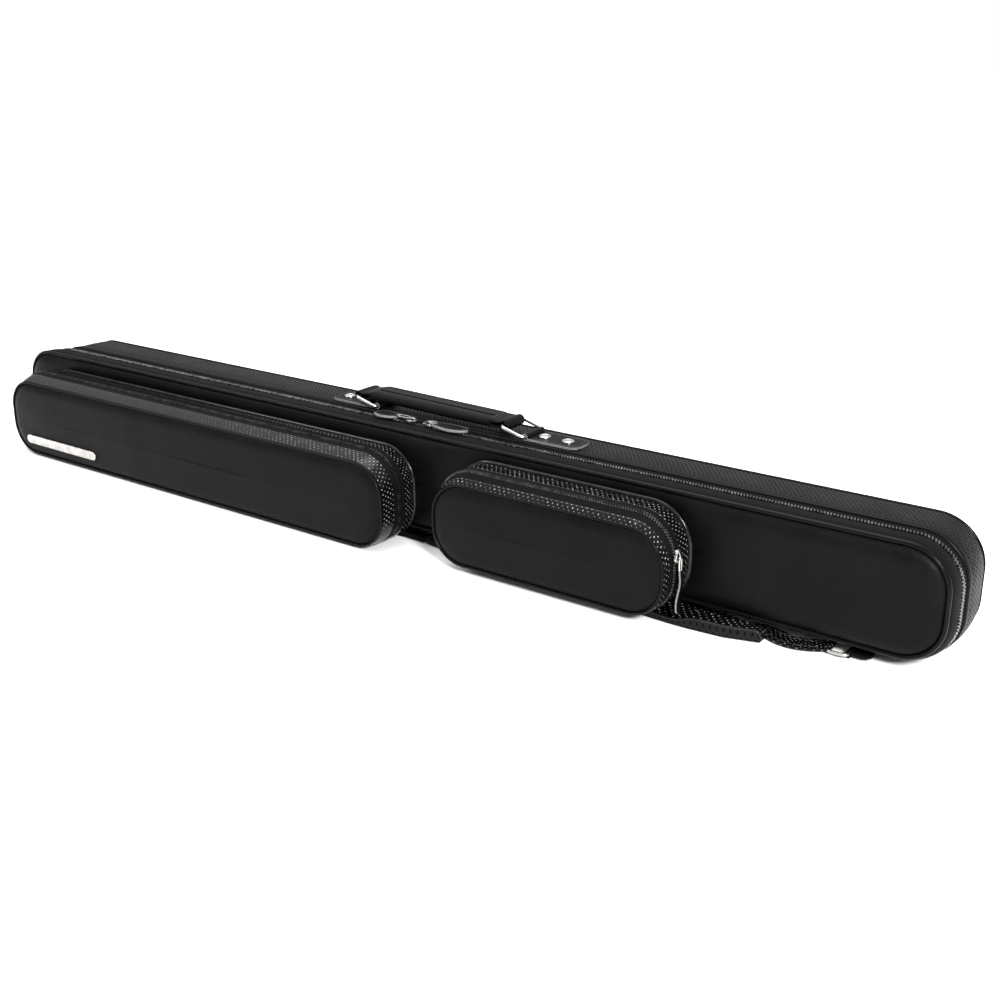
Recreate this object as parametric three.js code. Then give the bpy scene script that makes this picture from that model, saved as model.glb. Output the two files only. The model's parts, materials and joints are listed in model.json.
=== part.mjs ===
// Long soft cue case with a zipped lid, two zipped front pockets, a carrying handle on
// two swinging rings and a shoulder strap folded away under it.
// Millimetres, +Z up. The case stands on its long narrow side, front (-Y) with the pockets.
import * as THREE from 'three';
import { mergeVertices } from 'three/addons/utils/BufferGeometryUtils.js';

// ---- driving dimensions -------------------------------------------------------------
const FRONT = 0;            // plane of the lid's front panel
const BACK = 64;            // outside of the back panel
const TOP = 86;             // top of the lid's side wall above the ground
const GAP = 0.3;            // clearance between touching pieces
const CORNER_STEPS = 6;     // straight steps in each rounded corner

// Outside of the case at five depths: left and right end, bottom, top, corner radius.
const CASE_STATIONS = [
  { y: 0, x0: -435, x1: 435, z0: 9.5, z1: TOP, r: 29 },
  { y: 13, x0: -431, x1: 437, z0: 5.5, z1: TOP, r: 31 },
  { y: 26, x0: -425, x1: 437, z0: 3, z1: TOP, r: 32 },
  { y: 38, x0: -423, x1: 437, z0: 0, z1: TOP + 0.6, r: 33 },
  { y: 52, x0: -421.5, x1: 436.5, z0: 0, z1: TOP + 0.6, r: 33 },
  { y: BACK, x0: -420, x1: 435.5, z0: 2, z1: TOP + 0.6, r: 32 },
];

const WALL = 2.8;           // padded side walls
const BINDING_PROUD = 0.8;  // bound edge stands this far out of the tray's wall
const NAME_BAR_PROUD = 1.5; // metal bar on the large pocket
const LID_WALL_BACK = 13;   // lid's side wall ends, zip tape begins
const CHAIN = [15.3, 17.2, 17.5, 19.4];   // lid chain front and back, tray chain front and back
const TRAY_FRONT = 28;      // tray's side wall begins behind its bound edge

const POCKETS = {
  large: {
    name: 'pocket_large', frontY: -42.3, zipY: -21, side: -1,
    front: { x0: -410.7, x1: 30.5, z0: 1.5, z1: 69, r: 27 },
    zip: { x0: -417, x1: 31, z0: 0, z1: 73.5, r: 29 },
    rear: { x0: -401, x1: 30, z0: 0, z1: 71.5, r: 28 },
  },
  small: {
    name: 'pocket_small', frontY: -36.4, zipY: -23.6, side: 1,
    front: { x0: 73, x1: 263, z0: 6, z1: 68.5, r: 27 },
    zip: { x0: 72, x1: 265, z0: 5, z1: 76, r: 30 },
    rear: { x0: 74, x1: 264, z0: 5, z1: 76, r: 29 },
  },
};
const POCKET_WALL = 1.8;
const FLANGE = 2.4;         // how far the pocket's bound edge stands out on the lid

const RING = { wire: 1.5, length: 20, width: 28, lean: 15, y: 39.9, z: TOP + 3.4 };
const STRAP_HALF = 11.9;    // half the width of the handle's straps
const RING_LEFT_X = -31;
const RING_RIGHT_X = 110;
const HOOD_TAIL = 14;       // from a ring's upper bar to the end of the padded roll
const STRAP_RING = { wire: 1.2, length: 14, width: 17, z: 2.6, y: 7.5 };
// Shoulder pad at nine places along it: X, front edge, back edge, height of its front part.
const STRAP_PAD = [
  [37, 1, 9, 4], [44, -3, 12.5, 4], [60, -4.5, 12.5, 4], [152, -14.4, 12.5, 4],
  [262, -19.9, 12.2, 4], [271, -19.7, 11.6, 4], [277, -19.3, 11, 8.2], [300, -17.6, 8.4, 8.2],
  [322, -11, 3, 8.2],
];

// ---- materials ------------------------------------------------------------------------
const paint = (color, roughness, metalness = 0) =>
  new THREE.MeshStandardMaterial({ color, roughness, metalness });
const LEATHER = paint(0x1b1b1c, 0.55);
const RIBBED_VINYL = paint(0x1d1c1e, 0.4);
const PATENT = paint(0x121214, 0.18);
const TEXTILE = paint(0x1a191b, 0.85);
const NICKEL = paint(0xc9c5bf, 0.22, 1);
const DARK_NICKEL = paint(0x77736f, 0.3, 1);
const LINING = paint(0x2b2d33, 0.95);
const FOAM = paint(0x3a3b40, 0.95);
const BOARD = paint(0x4a453f, 0.8);

const cueCase = new THREE.Group();

// ---- mesh helpers ---------------------------------------------------------------------
/** Six times the signed volume of a triangle mesh. */
function signedVolume(geometry) {
  const p = geometry.attributes.position;
  const index = geometry.index.array;
  const [a, b, c] = [new THREE.Vector3(), new THREE.Vector3(), new THREE.Vector3()];
  let sum = 0;
  for (let i = 0; i < index.length; i += 3) {
    a.fromBufferAttribute(p, index[i]);
    b.fromBufferAttribute(p, index[i + 1]);
    c.fromBufferAttribute(p, index[i + 2]);
    sum += a.dot(b.cross(c));
  }
  return sum;
}

/** Adds one named body, with its faces turned outwards. */
function add(name, geometry, material, parent = cueCase) {
  geometry.deleteAttribute('normal');
  geometry.deleteAttribute('uv');
  const merged = mergeVertices(geometry, 1e-4);
  if (signedVolume(merged) < 0) {
    const index = merged.index.array;
    for (let i = 0; i < index.length; i += 3) {
      [index[i + 1], index[i + 2]] = [index[i + 2], index[i + 1]];
    }
  }
  merged.computeVertexNormals();
  const mesh = new THREE.Mesh(merged, material);
  mesh.name = name;
  parent.add(mesh);
  return mesh;
}

/** A closed body from rows of points: rows wrap into a loop, or both ends get a fan cap. */
function skin(rows, loop) {
  const n = rows[0].length;
  const positions = rows.flat().flatMap((p) => [p.x, p.y, p.z]);
  const faces = [];
  const quadRows = loop ? rows.length : rows.length - 1;
  for (let i = 0; i < quadRows; i += 1) {
    const next = (i + 1) % rows.length;
    for (let j = 0; j < n; j += 1) {
      const k = (j + 1) % n;
      faces.push(i * n + j, next * n + j, next * n + k);
      faces.push(i * n + j, next * n + k, i * n + k);
    }
  }
  if (!loop) {
    for (const [row, turned] of [[0, false], [rows.length - 1, true]]) {
      const centre = new THREE.Vector3();
      rows[row].forEach((p) => centre.addScaledVector(p, 1 / n));
      const hub = positions.length / 3;
      positions.push(centre.x, centre.y, centre.z);
      for (let j = 0; j < n; j += 1) {
        const [a, b] = [row * n + j, row * n + ((j + 1) % n)];
        faces.push(...(turned ? [hub, b, a] : [hub, a, b]));
      }
    }
  }
  const geometry = new THREE.BufferGeometry();
  geometry.setAttribute('position', new THREE.Float32BufferAttribute(positions, 3));
  geometry.setIndex(faces);
  return geometry;
}

/** Rounded rectangle in X and Z, from its lower left corner round by the top. */
function outline(b, inset = 0) {
  const r = Math.max(b.r - inset, 1);
  const [x0, x1, z0, z1] = [b.x0 + inset, b.x1 - inset, b.z0 + inset, b.z1 - inset];
  const corners = [[x0 + r, z0 + r, 270], [x0 + r, z1 - r, 180], [x1 - r, z1 - r, 90], [x1 - r, z0 + r, 0]];
  return corners.flatMap(([cx, cz, start]) => Array.from({ length: CORNER_STEPS + 1 }, (_, i) => {
    const angle = THREE.MathUtils.degToRad(start - (90 * i) / CORNER_STEPS);
    return [cx + r * Math.cos(angle), cz + r * Math.sin(angle)];
  }));
}

const row = (b, y, inset = 0) => outline(b, inset).map(([x, z]) => new THREE.Vector3(x, y, z));

/** Outside of the case at any depth, between the two nearest stations. */
function caseAt(y) {
  let i = 0;
  while (i < CASE_STATIONS.length - 2 && CASE_STATIONS[i + 1].y < y) i += 1;
  const [a, b] = [CASE_STATIONS[i], CASE_STATIONS[i + 1]];
  const t = THREE.MathUtils.clamp((y - a.y) / (b.y - a.y), 0, 1);
  const mix = (key) => THREE.MathUtils.lerp(a[key], b[key], t);
  return { x0: mix('x0'), x1: mix('x1'), z0: mix('z0'), z1: mix('z1'), r: mix('r') };
}

/** A wall of one thickness round the case between the given depths. */
function caseWall(depths, thickness, outset = 0) {
  const outer = depths.map((y) => row(caseAt(y), y, -outset));
  const inner = [...depths].reverse().map((y) => row(caseAt(y), y, thickness));
  return skin([...outer, ...inner], true);
}

/** A flat plate across the case, set in from its outside. */
function casePlate(y0, y1, inset) {
  const b = caseAt((y0 + y1) / 2);
  return skin([row(b, y0, inset), row(b, y1, inset)], false);
}

/** A strip round the top and both ends of an outline, open along its bottom. */
function openStrip(boxFront, y0, boxBack, y1, thickness, outset = 0) {
  const edges = [row(boxFront, y0, -outset), row(boxBack, y1, -outset),
    row(boxBack, y1, thickness), row(boxFront, y0, thickness)];
  return skin(edges[0].map((_, i) => edges.map((edge) => edge[i])), false);
}

/** Extrudes a shape drawn in X and Z from one depth to another. */
function extrudeY(shape, y0, y1) {
  const settings = { depth: y1 - y0, bevelEnabled: false, curveSegments: 6 };
  const geometry = new THREE.ExtrudeGeometry(shape, settings);
  return geometry.rotateX(Math.PI / 2).translate(0, y1, 0);
}

function plate(x0, x1, y0, y1, z0, z1) {
  const geometry = new THREE.BoxGeometry(x1 - x0, y1 - y0, z1 - z0);
  return geometry.translate((x0 + x1) / 2, (y0 + y1) / 2, (z0 + z1) / 2);
}

/** A strap end folded round a bar: an eye on the bar and a flat tail to one side. */
function foldedLoop(bar, eye, hole, tailX, tailZ0, tailZ1, y0, y1) {
  const side = Math.sign(tailX - bar.x);
  const high = Math.asin((tailZ1 - bar.z) / eye);
  const low = Math.asin((tailZ0 - bar.z) / eye);
  const reach = Math.abs(tailX - bar.x);
  const shape = new THREE.Shape();
  shape.moveTo(reach, tailZ0 - bar.z);
  shape.lineTo(reach, tailZ1 - bar.z);
  shape.lineTo(eye * Math.cos(high), eye * Math.sin(high));
  shape.absarc(0, 0, eye, high, low + 2 * Math.PI, false);
  shape.closePath();
  shape.holes.push(new THREE.Path().absarc(0, 0, hole, 0, 2 * Math.PI, true));
  return extrudeY(shape, y0, y1).scale(side, 1, 1).translate(bar.x, 0, bar.z);
}

/** A closed wire ring: round wire bent to a rounded rectangle between two parallel bars. */
function wireRing(spec, x, y, z, lean) {
  const half = { x0: 0, x1: spec.length, z0: -spec.width / 2, z1: spec.width / 2, r: spec.wire + 0.5 };
  const path = outline(half);
  const along = new THREE.Vector3(-Math.cos(lean), 0, Math.sin(lean));
  const across = new THREE.Vector3(0, 1, 0);
  const up = new THREE.Vector3().crossVectors(along, across);
  const sides = 8;
  const rows = path.map(([u, v], i) => {
    const [pu, pv] = path[(i + path.length - 1) % path.length];
    const [nu, nv] = path[(i + 1) % path.length];
    const out = along.clone().multiplyScalar(nv - pv).addScaledVector(across, pu - nu).normalize();
    const centre = new THREE.Vector3(x, y, z).addScaledVector(along, u).addScaledVector(across, v);
    return Array.from({ length: sides }, (_, k) => {
      const angle = (2 * Math.PI * k) / sides;
      return centre.clone().addScaledVector(out, spec.wire * Math.cos(angle))
        .addScaledVector(up, spec.wire * Math.sin(angle));
    });
  });
  return skin(rows, true);
}

// ---- tray: back half of the case ------------------------------------------------------
function addTray() {
  const backRows = [row(caseAt(60.3), 60.3), row(caseAt(62.5), 62.5), row(caseAt(BACK), BACK, 1.5)];
  add('back_panel', skin(backRows, false), LEATHER);
  add('tray_wall', caseWall([TRAY_FRONT, 38, 52, 60], WALL), RIBBED_VINYL);
  add('tray_binding', caseWall([25.9, TRAY_FRONT - GAP], 1.6, BINDING_PROUD), LEATHER);
  add('tray_zip_tape', openStrip(caseAt(19.7), 19.7, caseAt(25.6), 25.6, 1.2), TEXTILE);
  const [chainFront, chainBack] = CHAIN.slice(2);
  add('tray_zip_chain',
    openStrip(caseAt(chainFront), chainFront, caseAt(chainBack), chainBack, 1.6), DARK_NICKEL);
  const low = caseAt(22).z0;
  add('hinge_strip', plate(-388, 400, 18.8, 25.6, low + 0.2, low + 1.4), TEXTILE);
}

// ---- cue bed inside the tray ----------------------------------------------------------
const BED = { x0: -400, x1: 412, z0: 7, z1: 79, front: 33, back: 60 };
const SHAFT_SLOT = 15;      // middle channel, two shafts deep
const DIVIDER = 3;

function addCueBed() {
  add('cue_bed', plate(BED.x0, BED.x1, BED.back - 3.5, BED.back, BED.z0, BED.z1), FOAM);
  const mid = (BED.z0 + BED.z1) / 2;
  for (const [name, side] of [['lower', -1], ['upper', 1]]) {
    const [a, b] = [mid + side * SHAFT_SLOT / 2, mid + side * (SHAFT_SLOT / 2 + DIVIDER)];
    add(`cue_divider_${name}`,
      plate(BED.x0, BED.x1, BED.front, BED.back - 3.8, Math.min(a, b), Math.max(a, b)), LINING);
  }
  for (const [name, x] of [['left', -230], ['right', 230]]) {
    const band = plate(x - 20, x + 20, BED.front - 1.8, BED.front - GAP, BED.z0 - 1, BED.z1 + 1);
    add(`hold_strap_${name}`, band, TEXTILE);
  }
}

// ---- lid: front half of the case ------------------------------------------------------
function addLid() {
  const face = CASE_STATIONS[0];
  add('lid_panel', skin([row(face, FRONT, 4.2), row(face, FRONT + 2.2, 3.6)], false), LEATHER);
  const piping = [[-1.2, 1.6], [-1.8, 2.4], [-1.2, 3.3], [1.6, 3.3], [2.4, 2.4], [1.6, 0], [0, 0]];
  add('lid_piping', skin(piping.map(([y, inset]) => row(face, FRONT + y, inset)), true), LEATHER);
  add('lid_board', casePlate(2.9, 4.9, 6), BOARD);
  add('lid_lining', casePlate(5.2, 6.4, 4.4), LINING);
  add('lid_wall', caseWall([2.9, 8, LID_WALL_BACK], WALL), TEXTILE);
  add('lid_zip_tape', caseWall([LID_WALL_BACK + GAP, CHAIN[0] - GAP], 1.2), TEXTILE);
  add('lid_zip_chain', openStrip(caseAt(CHAIN[0]), CHAIN[0], caseAt(CHAIN[1]), CHAIN[1], 1.6), DARK_NICKEL);
}

// ---- pockets on the lid ---------------------------------------------------------------
function addPocket(p) {
  const wall = POCKET_WALL;
  const [front, zip, rear] = [p.front, p.zip, p.rear];
  // Fixed half: bound flange against the lid, rear wall and rear half of the zip.
  const rim = {
    x0: rear.x0 - FLANGE, x1: rear.x1 + FLANGE, z0: rear.z0 + 0.6, z1: rear.z1 + FLANGE, r: rear.r,
  };
  add(`${p.name}_flange`, skin([row(rim, -3.6), row(rim, -2.2), row(rear, -2.2, 1.5),
    row(rear, -3.6, 1.5)], true), PATENT);
  add(`${p.name}_wall`, skin([row(zip, p.zipY + 0.4), row(rear, -4), row(rear, -4, wall),
    row(zip, p.zipY + 0.4, wall)], true), TEXTILE);
  // Opening half: perforated gusset, piping and padded panel.
  add(`${p.name}_gusset`, skin([row(zip, p.zipY - 0.1), row(front, p.frontY + 3.2, 0.4),
    row(front, p.frontY + 3.2, wall + 0.4), row(zip, p.zipY - 0.1, wall)], true), PATENT);
  add(`${p.name}_piping`, skin([row(front, p.frontY + 2.9, 0), row(front, p.frontY + 0.9, 0),
    row(front, p.frontY + 0.9, 2.6), row(front, p.frontY + 2.9, 2.6)], true), LEATHER);
  add(`${p.name}_panel`, skin([row(front, p.frontY, 6), row(front, p.frontY + 0.6, 3.2),
    row(front, p.frontY + 2.9, 2.9)], false), LEATHER);
}

function addNameBar(p) {
  const bar = new THREE.Shape();
  bar.absarc(4, 4, 4, Math.PI / 2, 1.5 * Math.PI, false);
  bar.absarc(92, 4, 4, -Math.PI / 2, Math.PI / 2, false);
  const slab = extrudeY(bar, p.frontY - NAME_BAR_PROUD, p.frontY - GAP);
  add('name_bar', slab.translate(p.front.x0 + 20, 0, 12), NICKEL);
}

/** Slider, metal pull and leather tab hanging on a pocket's end. */
function addPocketSlider(p) {
  const x = p.side > 0 ? p.zip.x1 : p.zip.x0;
  const out = (near, far) => [x + p.side * near, x + p.side * far].sort((a, b) => a - b);
  const y = p.zipY;
  const high = p.name === 'pocket_small' ? 51 : 44;
  const body = new THREE.Shape();
  body.moveTo(-3.6, -4.5).lineTo(3.6, -4.5).lineTo(4.6, 1).lineTo(2, 4.5).lineTo(-2, 4.5).lineTo(-4.6, 1);
  body.closePath();
  const [a, b] = out(0.5, 3);
  const slab = new THREE.ExtrudeGeometry(body, { depth: b - a, bevelEnabled: false });
  slab.rotateX(Math.PI / 2).rotateZ(Math.PI / 2).translate(a, y, high);
  add(`${p.name}_slider`, slab, DARK_NICKEL);
  const [c, d] = out(3.3, 4.8);
  add(`${p.name}_pull`, plate(c, d, y - 2.6, y + 2.6, high - 18, high + 0.4), DARK_NICKEL);
  add(`${p.name}_tab`, plate(c, d, y - 3.4, y + 3.4, high - 40, high - 18 - GAP), LEATHER);
}

// ---- main zip sliders -----------------------------------------------------------------
function addMainSlider(name, x, side, tabFrom, tabTo) {
  const y = (CHAIN[1] + CHAIN[2]) / 2;
  const base = TOP + 0.6;
  const span = (a, b) => [x + side * a, x + side * b].sort((m, n) => m - n);
  const body = new THREE.Shape();
  body.moveTo(-4.5, -3.2).lineTo(3, -4.2).lineTo(4.5, -2).lineTo(4.5, 2).lineTo(3, 4.2).lineTo(-4.5, 3.2);
  body.closePath();
  const slab = new THREE.ExtrudeGeometry(body, { depth: 2.4, bevelEnabled: false });
  add(`main_slider_${name}`, slab.scale(side, 1, 1).translate(x, y, base), DARK_NICKEL);
  const [a, b] = span(0, tabFrom);
  add(`main_pull_${name}`, plate(a, b, y - 2.8, y + 2.8, base + 2.7, base + 4), DARK_NICKEL);
  const [c, d] = span(tabFrom + GAP, tabTo);
  add(`main_tab_${name}`, plate(c, d, 9.4, 22.9, base + 1.6, base + 3.8), LEATHER);
}

// ---- handle ---------------------------------------------------------------------------
function addHandleTab(name, barX, endX, rivets) {
  const bar = { x: barX, z: RING.z };
  add(`handle_tab_${name}`, foldedLoop(bar, 2.6, 1.8, endX, TOP + 0.95, TOP + 2.8,
    RING.y - STRAP_HALF, RING.y + STRAP_HALF), LEATHER);
  rivets.forEach(([place, x]) => {
    const dome = [[0, 0], [4.6, 0], [4.6, 0.25], [3, 0.65], [0, 0.8]]
      .map(([r, h]) => new THREE.Vector2(r, h));
    const rivet = new THREE.LatheGeometry(dome, 16).rotateX(Math.PI / 2);
    add(`rivet_${name}_${place}`, rivet.translate(x, RING.y, TOP + 3.05), NICKEL);
  });
}

function addHandle() {
  const lean = THREE.MathUtils.degToRad(RING.lean);
  const [dx, dz] = [RING.length * Math.cos(lean), RING.length * Math.sin(lean)];
  addHandleTab('left', RING_LEFT_X, -80, [['outer', -69.4], ['inner', -49]]);
  addHandleTab('right', RING_RIGHT_X, 154, [['inner', 120.2], ['outer', 140.4]]);
  for (const [name, x] of [['left', RING_LEFT_X], ['right', RING_RIGHT_X]]) {
    add(`handle_ring_${name}`, wireRing(RING, x, RING.y, RING.z, lean), NICKEL);
    const bar = { x: x - dx, z: RING.z + dz };
    const tail = bar.x + (name === 'left' ? HOOD_TAIL : -HOOD_TAIL);
    add(`handle_loop_${name}`, foldedLoop(bar, 4.5, 2.1, tail, bar.z - 3.4, bar.z + 3.8,
      RING.y - STRAP_HALF, RING.y + STRAP_HALF), LEATHER);
  }
  // The roll and the strip behind it slope down to the right.
  const ends = [
    { x: RING_LEFT_X - dx + HOOD_TAIL + GAP, z: TOP + 10.2 },
    { x: RING_RIGHT_X - dx - HOOD_TAIL - GAP, z: TOP + 8.4 },
  ];
  const turns = Array.from({ length: 24 }, (_, i) => (2 * Math.PI * i) / 24);
  add('handle_roll', skin(ends.map((e) => turns.map((a) => new THREE.Vector3(
    e.x, 35.5 + 8 * Math.cos(a), e.z + 3.9 * Math.sin(a)))), false), LEATHER);
  const strip = [[43.8, -0.1], [52.1, -0.1], [52.1, 3.5], [43.8, 3.5]];
  const stripAt = (e) => strip.map(([y, rise]) => new THREE.Vector3(e.x, y, e.z + rise));
  add('handle_flap', skin(ends.map(stripAt), false), LEATHER);
}

// ---- shoulder strap lying under the lid ------------------------------------------------
function addStrap() {
  add('strap_pad', skin(STRAP_PAD.map(([x, front, back, high]) => [
    [front, 0], [back, 0], [back, 4], [Math.min(-1, back - 1), high], [front, high],
  ].map(([y, z]) => new THREE.Vector3(x, y, z))), false), LEATHER);

  const { wire, length, width, y, z } = STRAP_RING;
  for (const [name, side, barX] of [['left', -1, -376], ['right', 1, 376]]) {
    const [y0, y1] = [y - 6.5, y + 6.5];
    const ringX = side > 0 ? barX : barX + length;
    add(`strap_ring_${name}`, wireRing({ wire, length, width }, ringX, y, z, 0), NICKEL);
    const fold = foldedLoop({ x: barX, z }, 2.4, 1.6, barX + side * 20, z - 0.2, z + 1.9, y0, y1);
    add(`strap_chape_${name}`, fold, LEATHER);
    const tail = side > 0 ? 322 + GAP : 37 - 1;
    add(`strap_web_${name}`,
      foldedLoop({ x: barX - side * length, z }, 2.4, 1.6, tail, z - 1.9, z + 0.4, y0, y1), LEATHER);
  }
}

addTray();
addCueBed();
addLid();
Object.values(POCKETS).forEach((p) => {
  addPocket(p);
  addPocketSlider(p);
});
addNameBar(POCKETS.large);
addMainSlider('left', 14, -1, 13, 36);
addMainSlider('right', 30, 1, 6, 37);
addHandle();
addStrap();

// The row's origin is on the ground under the middle of the whole case.
const MIDDLE_X = (CASE_STATIONS[0].x0 + CASE_STATIONS[2].x1 + BINDING_PROUD) / 2;
const MIDDLE_Y = (POCKETS.large.frontY - NAME_BAR_PROUD + BACK) / 2;
cueCase.position.set(-MIDDLE_X, -MIDDLE_Y, 0);
const part = new THREE.Group();
part.add(cueCase);

export default part;
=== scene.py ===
"""Soft cue case: leather lid with two zipped pockets, ribbed vinyl side wall, zips, handle and strap.

Lengths in the classes are millimetres in the case's own frame: X along the case from the
middle of the lid, Y back from the lid's front plane, Z up from the ground.
"""

import json
import logging
import math
from dataclasses import dataclass, field
from enum import Enum
from typing import Callable

import bmesh
import bpy
import numpy as np
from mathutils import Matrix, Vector

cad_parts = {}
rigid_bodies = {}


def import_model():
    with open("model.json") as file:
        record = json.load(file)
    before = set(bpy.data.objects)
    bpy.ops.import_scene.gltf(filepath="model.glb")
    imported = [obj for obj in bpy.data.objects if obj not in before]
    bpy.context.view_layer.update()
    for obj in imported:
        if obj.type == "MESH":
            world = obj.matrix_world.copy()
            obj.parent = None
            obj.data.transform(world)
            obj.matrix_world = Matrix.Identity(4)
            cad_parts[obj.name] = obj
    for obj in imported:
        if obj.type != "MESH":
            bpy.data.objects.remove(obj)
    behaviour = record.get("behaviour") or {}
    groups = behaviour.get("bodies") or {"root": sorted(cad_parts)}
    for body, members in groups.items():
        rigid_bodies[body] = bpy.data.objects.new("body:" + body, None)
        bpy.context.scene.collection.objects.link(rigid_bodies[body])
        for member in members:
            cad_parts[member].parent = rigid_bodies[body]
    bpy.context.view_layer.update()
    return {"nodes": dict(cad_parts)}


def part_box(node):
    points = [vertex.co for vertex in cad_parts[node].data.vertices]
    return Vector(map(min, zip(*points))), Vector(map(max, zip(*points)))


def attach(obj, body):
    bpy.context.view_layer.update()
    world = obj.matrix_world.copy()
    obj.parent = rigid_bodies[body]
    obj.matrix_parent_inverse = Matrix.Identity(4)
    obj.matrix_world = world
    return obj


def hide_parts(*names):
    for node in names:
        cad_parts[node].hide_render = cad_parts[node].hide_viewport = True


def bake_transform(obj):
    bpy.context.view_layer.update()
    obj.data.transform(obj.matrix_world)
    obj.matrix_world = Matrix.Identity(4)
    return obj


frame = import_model()

MM = 0.001
WELD_GAP = 0.02 * MM
SLIVER = 0.005 * MM
SHARP_EDGE = math.radians(40.0)

Array = np.ndarray
Triple = tuple[float, float, float]
Pair = tuple[float, float]
Rect = dict[str, float]
log = logging.getLogger("cue_case")


class Datum:
    """Turns the case's own millimetres into the frame's metres."""

    def __init__(self) -> None:
        """Reads where the lid's panel stands in the frame."""
        low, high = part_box("lid_panel")
        self.origin = np.array([(low.x + high.x) / 2, low.y, 0.0])

    def place(self, points: Array) -> Array:
        """Case millimetres to frame metres.

        Args:
            points: any array whose last axis is X, Y, Z.

        Returns:
            The same array in metres in the frame.
        """
        return np.asarray(points, float) * MM + self.origin

    def spot(self, x: float, y: float, z: float) -> Vector:
        """One point in frame metres."""
        return Vector(self.place(np.array([x, y, z])))


DATUM = Datum()


# ---- surfaces ---------------------------------------------------------------------------
def make_object(name: str, points: Array, faces: Array, uv: Array | None = None,
                groups: Array | None = None) -> bpy.types.Object:
    """Makes a smooth mesh object from case millimetres.

    Args:
        name: the piece's name.
        points: (n, 3) points.
        faces: (m, 4) corner indices of four-sided faces.
        uv: (m, 4, 2) pattern coordinates in metres, or None.
        groups: (m,) material index of each face, or None.

    Returns:
        The linked object, at the origin.
    """
    mesh = bpy.data.meshes.new(name)
    mesh.vertices.add(len(points))
    mesh.vertices.foreach_set("co", DATUM.place(points).astype(np.float32).ravel())
    mesh.loops.add(faces.size)
    mesh.loops.foreach_set("vertex_index", faces.astype(np.int32).ravel())
    mesh.polygons.add(len(faces))
    mesh.polygons.foreach_set("loop_start", np.arange(0, faces.size, 4, dtype=np.int32))
    if groups is not None:
        mesh.polygons.foreach_set("material_index", groups.astype(np.int32))
    if uv is not None:
        layer = mesh.uv_layers.new(name="pattern")
        layer.data.foreach_set("uv", uv.astype(np.float32).ravel())
    mesh.update(calc_edges=True)
    mesh.validate()
    mesh.shade_smooth()
    obj = bpy.data.objects.new(name, mesh)
    bpy.context.scene.collection.objects.link(obj)
    return obj


def lengths(points: Array, closed: bool) -> Array:
    """Running length along a row of points, with one more entry when the row closes.

    Args:
        points: the row.
        closed: the row returns to its first point.

    Returns:
        Length from the start to each point.
    """
    row = np.concatenate([points, points[:1]]) if closed else points
    steps = np.linalg.norm(np.diff(row, axis=0), axis=1)
    return np.concatenate([[0.0], np.cumsum(steps)])


def grid(name: str, points: Array, close_u: bool = True, close_v: bool = True,
         row_bands: tuple[int, ...] = (), column_bands: Array | None = None,
         weld: bool = False) -> bpy.types.Object:
    """A surface over a grid of points, welded shut where rows meet.

    Args:
        name: the piece's name.
        points: (rows, columns, 3) in case millimetres.
        close_u: columns join into a ring.
        close_v: rows join into a ring.
        row_bands: rows from which the next material begins.
        column_bands: the material number of each column.
        weld: merge points that fall together, such as a collapsed row.

    Returns:
        The object, with a pattern map whose unit is the metre along and across.
    """
    rows, columns = points.shape[:2]
    v_count, u_count = rows if close_v else rows - 1, columns if close_u else columns - 1
    i, j = np.meshgrid(np.arange(v_count), np.arange(u_count), indexing="ij")
    i2, j2 = (i + 1) % rows, (j + 1) % columns
    faces = np.stack([i * columns + j, i * columns + j2, i2 * columns + j2, i2 * columns + j], -1)
    along = lengths(points[rows // 4], close_u) * MM
    across = lengths(points[:, columns // 3], close_v) * MM
    uv = np.stack([np.stack([along[j], across[i]], -1), np.stack([along[j + 1], across[i]], -1),
                   np.stack([along[j + 1], across[i + 1]], -1), np.stack([along[j], across[i + 1]], -1)], -2)
    groups = np.searchsorted(row_bands, i, side="right") if row_bands else None
    if column_bands is not None:
        groups = column_bands[j]
    groups = None if groups is None else groups.reshape(-1)
    obj = make_object(name, points.reshape(-1, 3), faces.reshape(-1, 4), uv.reshape(-1, 4, 2), groups)
    return finish_mesh(obj, weld)


def finish_mesh(obj: bpy.types.Object, weld: bool) -> bpy.types.Object:
    """Closes open ends, turns faces outwards and marks sharp edges.

    Args:
        obj: the mesh object.
        weld: first merge points that fall together.

    Returns:
        The same object.
    """
    work = bmesh.new()
    work.from_mesh(obj.data)
    if weld:
        bmesh.ops.remove_doubles(work, verts=work.verts, dist=WELD_GAP)
        bmesh.ops.dissolve_degenerate(work, edges=work.edges, dist=SLIVER)
    holes = [edge for edge in work.edges if edge.is_boundary]
    if holes:
        bmesh.ops.holes_fill(work, edges=holes, sides=0)
    bmesh.ops.recalc_face_normals(work, faces=work.faces)
    work.to_mesh(obj.data)
    work.free()
    obj.data.shade_smooth()
    obj.data.set_sharp_from_angle(angle=SHARP_EDGE)
    return obj


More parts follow.
